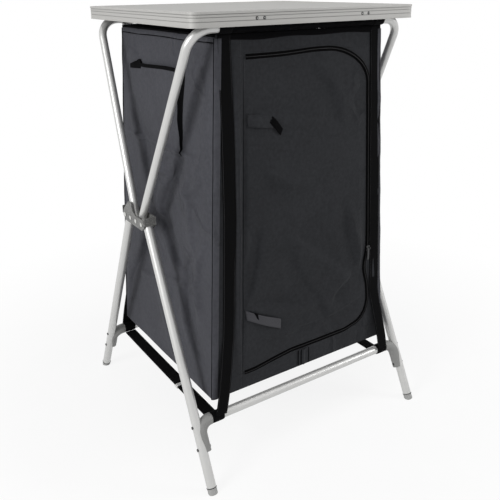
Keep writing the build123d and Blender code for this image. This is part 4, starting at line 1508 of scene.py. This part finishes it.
@dataclass
class SideWalls:
    """The two side walls of cloth and the piped facings at their corners."""

    inset: float = 0.0012
    facing_side: float = 0.006
    facing_front: float = 0.014
    facing_ply: float = 0.0006
    facing_lift: float = 0.0026
    piping: float = 0.0013
    flap_depth: float = 0.0028
    flap: float = 0.018
    flap_ply: float = 0.0008
    columns: int = 165
    rows: int = 265
    keep: float = 0.104

    def wall(self, end: Side) -> Piece:
        """One wall with its folds.

        Args:
            end: Left for LOW, right for HIGH.

        Returns:
            The wall.
        """
        z = np.linspace(BOX.bottom, BOX.wall_top + 0.002, self.rows)[:, None]
        y = np.linspace(-1, 1, self.columns)[None, :] * (BOX.half_depth(z) - self.inset)
        depth = side_depth(y, z) if end is Side.LOW else side_depth(-y, z, RIGHT)
        return shell("side_wall_cloth_" + end.name.lower(), BOX.side(y, z, depth, end),
                     (-end.value * CLOTH, 0, 0), LIT_CLOTH_COPY, grid(y, z))

    def facing(self, end: Side, face: Side) -> Piece:
        """The cloth band round one vertical corner, with a flap behind the wall that shows when folded.

        Args:
            end: Left for LOW, right for HIGH.
            face: Front for LOW, rear for HIGH.

        Returns:
            The band with its piping.
        """
        z = np.linspace(BOX.bottom + 0.001, BOX.wall_top + 0.012, 140)[:, None]
        turn = np.linspace(0, math.pi / 2, 13)[None, :]
        wave = 0.0008 * ripples(z * 0.2, z, 0.16, 41 + end.value)
        x = BOX.half_width(z) + self.facing_lift + wave - self.facing_front * (1 - np.cos(turn))
        y = BOX.half_depth(z) + 0.0030 + wave - self.facing_side * (1 - np.sin(turn))
        points = grid(end.value * x, face.value * y, z)
        name = "corner_facing_%s_%s" % (end.name.lower(), face.name.lower())
        inward = (-end.value * self.facing_ply, -face.value * self.facing_ply, 0)
        band = shell(name, points, inward, LIT_CLOTH_COPY, grid(turn * 0.012, z))
        seam = points[:, 0, :] - np.array([end.value * self.facing_ply, 0, 0])
        bead = tube(name + "_bead", seam, self.piping, BLACK_CLOTH)
        along = np.linspace(0.001, self.flap, 6)[None, :]
        behind = grid(end.value * (BOX.half_width(z) - self.flap_depth),
                      face.value * (BOX.half_depth(z) - along), z)
        flap = shell(name + "_flap", behind, (-end.value * self.flap_ply, 0, 0), LIT_CLOTH_COPY, grid(along, z))
        return join(name, [band, bead, flap])

    def build(self) -> List[Piece]:
        """Both walls, and the facings that go with the panels.

        Returns:
            The new pieces.
        """
        pieces = []
        for end in Side:
            wall = flatten(self.wall(end), HAND[end] + "_side_wall")
            pieces.append(wall)
            pieces += [attach(self.facing(end, face), END[face] + "_panel") for face in Side]
        return pieces


def front_cloth(name: str, low: Callable[[Any], Any], high: Callable[[Any], Any], heights: np.ndarray,
                columns: int) -> Piece:
    """A part of the front's cloth between two edges.

    Args:
        name: The object's name.
        low: Gives the left edge at each height.
        high: Gives the right edge at each height.
        heights: The heights of its rows.
        columns: How many columns it has.

    Returns:
        The cloth.
    """
    z = heights[:, None]
    left, right = low(z), high(z)
    x = left + (right - left) * np.linspace(0, 1, columns)[None, :]
    return shell(name, on_front(x, z), (0, CLOTH, 0), SHADED_CLOTH_COPY, grid(x, z))


def zip_tape(name: str, half: Side) -> Piece:
    """One half of the zip's tape.

    Args:
        name: The object's name.
        half: The door's half for LOW, the panel's for HIGH.

    Returns:
        The tape.
    """
    woven = DOOR.zip_path(half.value * DOOR.tape_reach, DOOR.woven_lift)
    coiled = DOOR.zip_path(half.value * DOOR.gap, DOOR.coil_edge_lift)
    edges = (woven, coiled) if half is Side.HIGH else (coiled, woven)
    return strip(name, *edges, DOOR.tape_ply, ZIP)


@dataclass
class FrontPanel:
    """The cloth round the door, its half of the zip's tape and its black top band."""

    band_depth: float = 0.013
    band_wave: float = 0.0015

    def build(self) -> List[Piece]:
        """The panel in one piece, with its tape and its band.

        Returns:
            The new pieces.
        """
        z = DOOR.heights()
        above = np.linspace(DOOR.top, BOX.top, 12)
        below = np.linspace(BOX.bottom, DOOR.bottom, 12)
        right = BOX.half_width
        panel = join("front_panel_cloth", [
            front_cloth("front_panel_left", lambda h: -right(h), lambda h: DOOR.left(h) - DOOR.gap, z, 20),
            front_cloth("front_panel_right", lambda h: DOOR.right(h) + DOOR.gap, right, z, 24),
            front_cloth("front_panel_top", lambda h: -right(h), right, above, 100),
            front_cloth("front_panel_bottom", lambda h: -right(h), right, below, 100),
        ])
        attach(panel, "front_panel", "front_panel")
        tape = attach(zip_tape("zip_tape_outer", Side.HIGH), "front_panel", "zip_tape_panel")
        x = np.linspace(-BAND_HALF, BAND_HALF, 90)
        edge = BOX.top - self.band_depth - self.band_wave * np.sin(x * 40.0)
        band = strip("front_top_band", BOX.front(x, BOX.top, 0.0008), BOX.front(x, edge, 0.0012), BAND_PLY,
                     BLACK_CLOTH, 5)
        return [panel, tape, attach(band, "front_panel")]


@dataclass
class Door:
    """The zipped door with its half of the tape, its teeth and its ties."""

    coil_lift: float = 0.0017

    def tie(self, name: str, corners: Sequence[Point2], sag: float, finish: Finish) -> Piece:
        """A ribbon on the door, from its sewn end to its loose end.

        Args:
            name: The object's name.
            corners: Sewn top, sewn bottom, loose top and loose bottom, in metres along X and Z.
            sag: How far its middle stands off the cloth.
            finish: Its finish.

        Returns:
            The ribbon.
        """
        sewn_top, sewn_bottom, loose_top, loose_bottom = np.asarray(corners)
        s = np.linspace(0, 1, 26)
        lift = 0.0008 + sag * np.sin(s * math.pi) ** 2 + 0.4 * sag * s ** 3
        high = sewn_top + (loose_top - sewn_top) * s[:, None]
        low = sewn_bottom + (loose_bottom - sewn_bottom) * s[:, None]
        return strip(name, on_front(high[:, 0], high[:, 1], lift), on_front(low[:, 0], low[:, 1], lift * 1.3),
                     BAND_PLY, finish, 6)

    def build(self) -> List[Piece]:
        """The door and all that swings with it.

        Returns:
            The new pieces.
        """
        cloth = front_cloth("door_cloth", DOOR.left, DOOR.right, DOOR.heights(), 96)
        attach(cloth, "door", "door_panel")
        teeth = TEETH.along("zip_teeth", [DOOR.zip_path(0.0, self.coil_lift)], COIL)
        zipper = join("zip_inner_half", [zip_tape("zip_tape_inner", Side.LOW), teeth])
        attach(zipper, "door", "zip_tape_door")
        ties = join("door_ribbons", [
            self.tie("tie_lower", ((-0.172, 0.386), (-0.168, 0.361), (-0.074, 0.337), (-0.074, 0.309)),
                     0.003, RIBBON),
            self.tie("tie_lower_patch", ((-0.160, 0.382), (-0.150, 0.366), (-0.130, 0.366), (-0.128, 0.345)),
                     0.0022, BLACK_CLOTH),
            self.tie("tie_upper", ((-0.153, 0.832), (-0.153, 0.806), (-0.090, 0.824), (-0.092, 0.797)),
                     0.003, SHADED_CLOTH_COPY),
            self.tie("tie_upper_tab", ((-0.094, 0.824), (-0.100, 0.810), (-0.064, 0.792), (-0.070, 0.778)),
                     0.002, BLACK_CLOTH),
        ])
        return [cloth, zipper, attach(ties, "door", "door_ties")]


@dataclass
class RearPanel:
    """The plain rear panel of cloth."""

    band_depth: float = 0.014

    def build(self) -> List[Piece]:
        """The panel and its black top band.

        Returns:
            The new pieces.
        """
        z = np.linspace(BOX.bottom, BOX.top, 150)[:, None]
        x = np.linspace(-1, 1, 110)[None, :] * BOX.half_width(z)
        points = BOX.front(x, z, rear_depth(x, z), Side.HIGH)
        panel = shell("rear_panel_cloth", points, (0, -CLOTH, 0), SHADED_CLOTH_COPY, grid(x, z))
        attach(panel, "rear_panel", "rear_panel")
        row = np.linspace(-BAND_HALF, BAND_HALF, 60)
        band = strip("rear_top_band", BOX.front(row, BOX.top, 0.0008, Side.HIGH),
                     BOX.front(row, BOX.top - self.band_depth, 0.0012, Side.HIGH), BAND_PLY, BLACK_CLOTH, 5)
        return [panel, attach(band, "rear_panel")]


@dataclass
class Straps:
    """Webbing: vertical straps on the panels, loops round the bars and the side straps."""

    width: float = 0.030
    thickness: float = 0.0016
    bar_height: float = 1.008
    bar_spread: float = 0.232
    cross_height: float = 0.143
    cross_spread: float = 0.25083
    loop_radius: float = 0.0134
    top_edge: float = 0.2180
    knee_height: float = 0.330
    knee_edge: float = 0.2445
    bottom_edge: float = 0.2737
    drawn_in: Tuple[Point2, ...] = ((0.15, 0.004), (0.26, 0.010), (0.40, 0.012), (0.61, 0.013), (0.80, 0.008),
                                    (0.99, 0.001))
    strap_bottom: float = 0.1500
    strap_top: float = 0.9957
    spread_bottom: float = 0.160
    spread_top: float = 0.340
    loop_wall: float = 0.0021
    bar_clear: float = 0.0098
    cross_clear: float = 0.0113
    sleeve_half: float = 0.1875
    sleeve_radius: float = 0.0113
    gather: float = 0.0005
    side_height: float = 0.131
    side_reach: float = 0.2422
    side_ply: float = 0.0024
    side_sag: float = 0.0010
    side_keep: float = 0.1533
    buckle_place: float = -0.080

    def edges(self, z: np.ndarray, end: Side, face: Side) -> Tuple[np.ndarray, np.ndarray]:
        """Outer and inner edge of a vertical strap, as distances from the middle.

        Args:
            z: Heights.
            end: Left for LOW, right for HIGH.
            face: Front for LOW, rear for HIGH.

        Returns:
            The two edges along X.
        """
        outer = between(z, ((self.cross_height, self.bottom_edge), (self.knee_height, self.knee_edge),
                            (BOX.top, self.top_edge)))
        if end is Side.LOW and face is Side.LOW:
            outer = outer - between(z, self.drawn_in)
        return outer, outer - self.width

    def standing(self, x: np.ndarray, z: np.ndarray, face: Side) -> np.ndarray:
        """How far a vertical strap stands out: on the cloth, and below it out to the crossbar's loop.

        Args:
            x: Places along X.
            z: Heights.
            face: Front for LOW, rear for HIGH.

        Returns:
            The distance from the cupboard's flat face.
        """
        cloth = (front_depth if face is Side.LOW else rear_depth)(x, z) + 0.0006
        over = self.cross_spread + self.loop_radius - 0.0012 - BOX.half_depth(z)
        share = ramp(z, self.spread_top, self.spread_bottom)
        share = share * share * (3 - 2 * share)
        return cloth * (1 - share) + over * share

    def vertical(self, end: Side, face: Side) -> Piece:
        """One strap down a panel.

        Args:
            end: Left for LOW, right for HIGH.
            face: Front for LOW, rear for HIGH.

        Returns:
            The strap.
        """
        z = np.linspace(self.strap_bottom, self.strap_top, 170)
        outer, inner = (BOX.front(x, z, self.standing(x, z, face), face)
                        for x in (end.value * edge for edge in self.edges(z, end, face)))
        name = "strap_%s_%s" % (face.name.lower(), end.name.lower())
        return strip(name, outer, inner, self.thickness, WEBBING, 7)

    def loops(self, face: Side, node: str, edge: float, bar: Point2, inner: float) -> Piece:
        """The two webbing bands round one bar.

        Args:
            face: Front for LOW, rear for HIGH.
            node: The end of the name of the loops' node.
            edge: Their outer edge, from the middle.
            bar: The bar's middle along Y and its height.
            inner: Their inner radius.

        Returns:
            The loops.
        """
        across = np.linspace(-self.width / 2, self.width / 2, 7)
        rounding = 1 - 0.35 * (np.abs(across) / (self.width / 2)) ** 6
        outer = np.repeat((inner + self.loop_wall * rounding)[:, None], 48, axis=1)
        bands = [band_round_bar(node, end.value * (edge - self.width / 2) + across, outer, inner, bar, inner,
                                WEBBING) for end in Side]
        return join("%s_%s_web" % (END[face], node), bands)

    def build(self) -> List[Piece]:
        """All the webbing.

        Returns:
            The new pieces.
        """
        pieces = []
        for face in Side:
            end = END[face]
            strap = join(end + "_webbing", [self.vertical(hand, face) for hand in Side])
            pieces.append(attach(strap, end + "_panel", end + "_straps"))
            top = (face.value * self.bar_spread, self.bar_height)
            low = (face.value * self.cross_spread, self.cross_height)
            for node, body, edge, bar, inner in (
                    ("top_bar_loops", "upper_%s_frame", self.top_edge, top, self.bar_clear),
                    ("crossbar_loops", "lower_%s_frame", self.bottom_edge, low, self.cross_clear)):
                both = self.loops(face, node, edge, bar, inner)
                pieces.append(attach(both, body % end, "%s_%s" % (end, node)))
            pieces.append(attach(self.sleeve(face), "upper_%s_frame" % end, end + "_top_sleeve"))
        return pieces + self.side_straps()

    def sleeve(self, face: Side) -> Piece:
        """The gathered sleeve round a top bar.

        Args:
            face: Front for LOW, rear for HIGH.

        Returns:
            The sleeve.
        """
        x = np.linspace(-self.sleeve_half, self.sleeve_half, 120)
        place, angle = x[:, None], circle(36)
        gathers = 1 + np.sin(place * 160 + 2.1 * np.sin(angle * 2 + place * 37))
        outer = self.sleeve_radius - self.gather * gathers
        bar = (face.value * self.bar_spread, self.bar_height)
        return band_round_bar(END[face] + "_bar_sleeve", x, outer, self.bar_clear, bar, self.sleeve_radius,
                              BLACK_CLOTH)

    def side_straps(self) -> List[Piece]:
        """The two straps between the crossbars and their slider buckles.

        Returns:
            The new pieces.
        """
        y = np.linspace(-self.side_reach, self.side_reach, 90)[:, None]
        across = np.linspace(-self.width / 2, self.width / 2, 7)[None, :]
        z = self.side_height + self.side_ply / 2 - self.side_sag * (1 - (y / self.side_reach) ** 2)
        straps = [shell("side_strap", grid(self.side_middle(end) + across, y, z), (0, 0, -self.side_ply),
                        WEBBING, grid(across, y)) for end in Side]
        strap = flatten(join("side_strap_web", straps), "side_straps")
        slider = join("side_strap_sliders", [self.buckle(end) for end in Side])
        body = frame_body("side_strap_buckles")
        return [strap, attach(slider, body, "side_strap_buckles")]

    def side_middle(self, end: Side) -> float:
        """The middle of a side strap along X."""
        return end.value * (self.bottom_edge - self.width / 2)

    def buckle(self, end: Side) -> Piece:
        """A rounded slider buckle round a side strap.

        Args:
            end: Left for LOW, right for HIGH.

        Returns:
            The buckle.
        """
        half_x, half_z, half_length, rod_place, bead = 0.0168, 0.0034, 0.0048, 0.0030, 0.0019
        place = np.array([self.side_middle(end), self.buckle_place, self.side_height])
        cos, sin = np.cos(circle(40)), np.sin(circle(40))
        ring = grid(np.copysign(np.abs(cos) ** 0.25, cos) * half_x, 0.0,
                    np.copysign(np.abs(sin) ** 0.5, sin) * half_z)
        ring = np.vstack([ring, ring[:1]]) + place
        rods = [tube("buckle_rod", ring + np.array([0.0, y, 0.0]), bead, BUCKLE, 10)
                for y in (-rod_place, rod_place)]
        for x in (-half_x, half_x):
            rail = place + grid(x, np.array([-half_length, 0.0, half_length]), 0.0)
            rods.append(tube("buckle_side", rail, bead * 1.2, BUCKLE, 10))
        return join("buckle_%d" % end.value, rods)


def frame_body(node: str) -> str:
    """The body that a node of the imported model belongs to.

    Args:
        node: The node's name.

    Returns:
        The body's name.
    """
    bodies: Dict[str, List[str]] = frame["record"]["behaviour"]["bodies"]
    return next(body for body, nodes in bodies.items() if node in nodes)


@dataclass
class InnerCloth:
    """Floor and shelf decks, and the hems along the side walls' tops."""

    keep: float = 0.092
    sag: float = 0.004
    hem_half: float = 0.2262
    hem_ply: float = 0.0030
    hem_bottom: float = 0.9790
    hem_top: float = 0.9900
    binding_bottom: float = 0.9895
    binding_top: float = 0.9945

    def deck(self, node: str) -> Piece:
        """A slightly sagging deck in place of a flat one.

        Args:
            node: The deck's node.

        Returns:
            The deck.
        """
        low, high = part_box(node)
        x = np.linspace(low[0], high[0], 60)[None, :]
        y = np.linspace(low[1], high[1], 60)[:, None]
        x, y = np.broadcast_arrays(x, y)
        sag = self.sag * (1 - (x / high[0]) ** 2) * (1 - (y / high[1]) ** 2)
        points = grid(x, y, high[2] - sag + 0.0004 * ripples(x, y, 0.15, 61))
        deck = shell(node + "_cloth", points, (0, 0, -0.002), LIT_CLOTH_COPY, grid(x, y))
        flatten(deck, node)
        return deck

    def wave(self, y: np.ndarray) -> np.ndarray:
        """How far a hem's lower edge rises and falls along it."""
        return 0.0008 * np.sin(y * 26 + 1.0)

    def hems(self) -> Piece:
        """The cloth hems and black bindings along the tops of the side walls.

        Returns:
            All of them as one piece.
        """
        y = np.linspace(-1, 1, 100)[:, None] * self.hem_half
        t = np.linspace(0, 1, 8)[None, :]
        seam = np.linspace(-self.hem_half, self.hem_half, 60)
        bands = []
        for end in Side:
            for bottom, top, lift, finish in ((self.hem_bottom, self.hem_top, 0.0014, LIT_CLOTH_COPY),
                                              (self.binding_bottom, self.binding_top, 0.0006, BLACK_CLOTH)):
                low = bottom + self.wave(y)
                z = low + (top - low) * t
                out = lift + 0.0008 * np.sin(t * math.pi) + 0.0004 * np.sin(y * 60 + t * 3)
                inward = (-end.value * self.hem_ply, 0, 0)
                bands.append(shell("hem", BOX.side(y, z, out, end), inward, finish, grid(y, z)))
            line = BOX.side(seam, self.hem_bottom - 0.0005 + self.wave(seam), 0.0014, end)
            bands.append(tube("hem_seam", line, 0.0010, BLACK_CLOTH))
        return flatten(join("side_hem_bands", bands), "side_hems")

    def build(self) -> List[Piece]:
        """The decks and the hems.

        Returns:
            The new pieces.
        """
        return [self.deck(node) for node in ("floor_deck", "shelf_deck_1", "shelf_deck_2")] + [self.hems()]


@dataclass
class SidePocket:
    """The pocket on the left wall. Its outline and fullness are pairs of a place and the value there."""

    keep: float = 0.104
    rear: float = 0.169
    bottom: float = 0.728
    front: Tuple[Point2, ...] = ((0, -0.097), (0.30, -0.100), (0.55, -0.099), (0.88, -0.090), (1, -0.076))
    mouth: Tuple[Point2, ...] = ((-0.080, 0.9150), (-0.072, 0.9175), (-0.024, 0.9170), (0.032, 0.9140),
                                 (0.083, 0.9115), (0.127, 0.9120), (0.169, 0.9045))
    fullness: Tuple[Point2, ...] = ((0, 0.0), (0.08, 0.004), (0.45, 0.0100), (0.85, 0.0085), (1, 0.0070))
    gusset_reach: Tuple[Point2, ...] = ((0, 0.0005), (0.2, 0.003), (0.42, 0.006), (0.63, 0.010),
                                        (0.88, 0.020), (1, 0.034))
    tab_peak: Tuple[Point2, ...] = ((0.104, 0.911), (0.114, 0.920), (0.127, 0.914), (0.168, 0.906))
    tab_foot: float = 0.896
    tab_rise: float = 0.004
    ply: float = 0.0018

    def gusset(self, share: np.ndarray, edge: np.ndarray, out: np.ndarray) -> Piece:
        """The gusset between the pocket's front edge and the wall, in black cloth that paints the shade in
        the gap there.

        Args:
            share: Shares of the way up the edge.
            edge: The edge's places along Y and heights.
            out: How far the edge stands out.

        Returns:
            The gusset.
        """
        steps = np.linspace(0, 1, 9)[None, :]
        y = edge[:, :1] - between(share, self.gusset_reach) * steps
        z = np.broadcast_to(edge[:, 1:], y.shape)
        base = side_depth(y, z) + 0.0009
        depth = base + (out[:, None] - base) * (1 - steps) ** 1.4
        # Painted shade: the gusset is black to stand for the dark gap between the pocket's front edge and the
        # wall.
        return shell("pocket_gusset", BOX.side(y, z, depth), (0.0008, 0.0, 0.0), BLACK_CLOTH, grid(y, z))

    def tab(self) -> Piece:
        """The raised tab at the rear of the mouth.

        Returns:
            The tab.
        """
        rear, front = self.tab_peak[-1][0], self.tab_peak[0][0]
        y = np.linspace(rear, front, 9)[:, None]
        foot = self.tab_foot + self.tab_rise * (rear - y) / (rear - front)
        z = foot + (between(y, self.tab_peak) - self.tab_foot) * np.linspace(0, 1, 6)[None, :]
        return shell("mouth_tab", on_left(y, z, 0.0042), (self.ply, 0, 0), BLACK_CLOTH, grid(y, z))

    def build(self) -> List[Piece]:
        """The pocket with its gusset, and its bound mouth.

        Returns:
            The pocket and its binding.
        """
        t = np.linspace(0, 1, 90)[None, :]
        share = np.linspace(0, 1, 60)[:, None]
        y = self.rear + (between(share, self.front) - self.rear) * t
        z = self.bottom + (between(y, self.mouth) - self.bottom) * share
        lift = 0.0012 + between(share, self.fullness) * t ** 0.8
        out = side_depth(y, z) + (lift + 0.0008 * ripples(y, z, 0.12, 71) * ramp(share, 0, 0.25))
        points = BOX.side(y, z, out)
        face = shell("pocket_face", points, (0.0009, 0, 0), LIT_CLOTH_COPY, grid(y, z))
        gusset = self.gusset(share, grid(y[:, -1], z[:, -1]), out[:, -1])
        pocket = flatten(join("pocket_cloth", [face, gusset]), "side_pocket")
        top, low = points[-1] + np.array([-0.0006, 0, 0.0012]), points[-1] + np.array([-0.0012, 0, -0.0070])
        down = np.linspace(0, 1, 5)[None, :, None]
        band = top[:, None, :] * (1 - down) + low[:, None, :] * down
        binding = shell("mouth_binding", band, (self.ply, 0, 0), BLACK_CLOTH, band[..., 1:])
        bound = join("pocket_mouth_binding", [binding, self.tab()])
        return [pocket, flatten(bound, "pocket_binding")]


@dataclass
class Seams:
    """Rows of stitches on the cloth and the webbing."""

    lift: float = 0.0004
    strap_inset: float = 0.002
    strap_lift: float = 0.0017
    zip_shift: float = 0.0066

    def on_cloth(self, top: Point2, bottom: Point2) -> np.ndarray:
        """A straight row down the front cloth, between two places along X and Z."""
        x, z = np.linspace(top, bottom, 40).T
        return on_front(x, z, self.lift)

    def build(self) -> List[Piece]:
        """All rows of stitches.

        Returns:
            The new pieces.
        """
        straps = Straps()
        z = np.linspace(0.165, 0.985, 160)
        rows: Dict[str, List[np.ndarray]] = {"front_panel": [], "rear_panel": []}
        for end in Side:
            for face in Side:
                outer, inner = straps.edges(z, end, face)
                for edge in (outer - self.strap_inset, inner + self.strap_inset):
                    x = end.value * edge
                    out = straps.standing(x, z, face) + self.strap_lift
                    rows[END[face] + "_panel"].append(BOX.front(x, z, out, face))
        rows["front_panel"] += [DOOR.zip_path(self.zip_shift, self.lift),
                                self.on_cloth((-0.1625, 0.990), (-0.1870, 0.190))]
        rows["door"] = [DOOR.zip_path(-self.zip_shift, self.lift),
                        self.on_cloth((-0.1545, 0.943), (-0.1785, 0.232))]
        return [attach(STITCHES.along(body + "_stitches", paths, THREAD), body)
                for body, paths in rows.items()]


@dataclass
class ZipFittings:
    """The zip's slider and pull, and the garage of cloth at its end. Places are along X and up."""

    bottom: float = 0.186
    top: float = 0.2175
    seam_and_fold_shade_lines: Tuple[float, ...] = (-0.018, -0.0095, 0.014)
    bead: float = 0.0009

    def build(self) -> List[Piece]:
        """Dress the solids and make the garage of cloth.

        Returns:
            The new pieces.
        """
        dress("zip_slider", SLIDER)
        dress("zip_pull", SLIDER)
        line = np.linspace(self.bottom, self.top, 12)
        x, z = np.linspace(self.seam_and_fold_shade_lines[0], self.seam_and_fold_shade_lines[-1], 33)[None, :], line[:, None]
        pleat = 0.0030 * np.exp(-((x + 0.003) / 0.004) ** 2) - 0.0008 * np.exp(-((x + 0.010) / 0.003) ** 2)
        flap = shell("zip_garage_flap", on_front(x, z, 0.0018 + pleat), (0, 0.0009, 0), SHADED_CLOTH_COPY,
                     grid(x, z))
        # The black beads are partly stitched seams along the garage and partly painted shade for its dark
        # fold lines.
        beads = [tube("zip_garage_seam", on_front(place, line, 0.0022), self.bead, BLACK_CLOTH)
                 for place in self.seam_and_fold_shade_lines]
        return [attach(join("zip_garage_cloth", [flap] + beads), "front_panel", "zip_garage")]


@dataclass
class Studio:
    """Plain pale floor, soft light, white surround and the photograph's camera. Angles in degrees."""

    location: Point3 = (-0.878, -1.340, 1.088)
    yaw: float = 33.41
    pitch: float = 19.39
    roll: float = -0.63
    lens: float = 46.28
    sensor: float = 36.0
    shift: float = -0.08
    soft_light: float = 0.35
    half_floor: float = 6.0

    def camera(self) -> None:
        """Place the camera."""
        data = bpy.data.cameras.new("camera")
        data.lens = self.lens
        data.sensor_width = self.sensor
        data.sensor_fit = "HORIZONTAL"
        data.shift_y = self.shift
        data.clip_start = 0.01
        yaw, pitch, roll = (math.radians(v) for v in (self.yaw, self.pitch, self.roll))
        ahead = Vector((math.sin(yaw) * math.cos(pitch), math.cos(yaw) * math.cos(pitch), -math.sin(pitch)))
        right = Vector((math.cos(yaw), -math.sin(yaw), 0.0))
        up = right.cross(ahead)
        turned_right = right * math.cos(roll) + up * math.sin(roll)
        turned_up = up * math.cos(roll) - right * math.sin(roll)
        turn = Matrix((turned_right, turned_up, -ahead)).transposed().to_4x4()
        camera = add_object("camera", data)
        camera.matrix_world = Matrix.Translation(Vector(self.location)) @ turn
        bpy.context.scene.camera = camera

    def lamp(self, name: str, place: Point3, target: Point3, size: float, power: float) -> None:
        """Add a soft square lamp.

        Args:
            name: The lamp's name.
            place: Where it stands.
            target: What it points at.
            size: The length of its sides.
            power: Its power in watts.
        """
        data = bpy.data.lights.new(name, "AREA")
        data.shape = "SQUARE"
        data.size = size
        data.energy = power
        lamp = add_object(name, data)
        lamp.location = place
        lamp.rotation_euler = (Vector(target) - Vector(place)).to_track_quat("-Z", "Y").to_euler()

    def surround(self) -> None:
        """A world that is white to look at and softly bright on surfaces."""
        world = bpy.data.worlds.new("surround")
        bpy.context.scene.world = world
        world.use_nodes = True
        world.node_tree.nodes.clear()
        graph = Graph(world.node_tree)
        path = graph.node("ShaderNodeLightPath").outputs
        seen, mirrored, through = (Value(graph, path["Is %s Ray" % kind])
                                   for kind in ("Camera", "Glossy", "Transmission"))
        white = (seen + mirrored * 0.9 + through).ramp(0.0, 1.0)
        soft, bright = (graph.node("ShaderNodeBackground", None,
                                   {"Color": WHITE, "Strength": glow}).outputs[0]
                        for glow in (self.soft_light, 1.0))
        both = graph.node("ShaderNodeMixShader", None, {0: white, 1: soft, 2: bright}).outputs[0]
        graph.node("ShaderNodeOutputWorld", None, {"Surface": both})

    def floor(self) -> None:
        """A plain pale floor that keeps a soft shadow and runs out into the white surround."""
        half = self.half_floor
        mesh = bpy.data.meshes.new("floor")
        mesh.from_pydata([(-half, -half, 0.0), (half, -half, 0.0), (half, half, 0.0), (-half, half, 0.0)], [],
                         [(0, 1, 2, 3)])
        finish = FloorFinish("floor_white", (0.90, 0.90, 0.90), roughness=0.9, specular=0.0)
        mesh.materials.append(finish.material())
        add_object("floor", mesh)

    def build(self) -> None:
        """Set up the whole studio."""
        self.camera()
        self.surround()
        self.floor()
        self.lamp("key", (-2.8, -0.6, 1.7), (0.0, 0.0, 0.6), 1.2, 52.0)
        self.lamp("fill", (2.4, -1.7, 1.6), (0.0, 0.0, 0.6), 1.0, 33.0)
        self.lamp("top", (0.2, -0.3, 3.0), (0.0, 0.0, 1.0), 1.8, 17.0)
        bpy.context.scene.view_settings.view_transform = "Standard"


def main() -> None:
    """Build every sub-assembly in order and report each piece."""
    logging.basicConfig(level=logging.INFO, format="%(name)s: %(message)s")
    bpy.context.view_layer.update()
    groups = (Tabletop(), TubeFrames(), HingeBrackets(), SideWalls(), FrontPanel(), Door(), RearPanel(),
              Straps(), InnerCloth(), SidePocket(), Seams(), ZipFittings())
    for group in groups:
        for piece in group.build():
            LOG.info("%s: %s, %d faces", type(group).__name__, piece.name, len(piece.data.polygons))
    Studio().build()


if __name__ == "__main__":
    main()
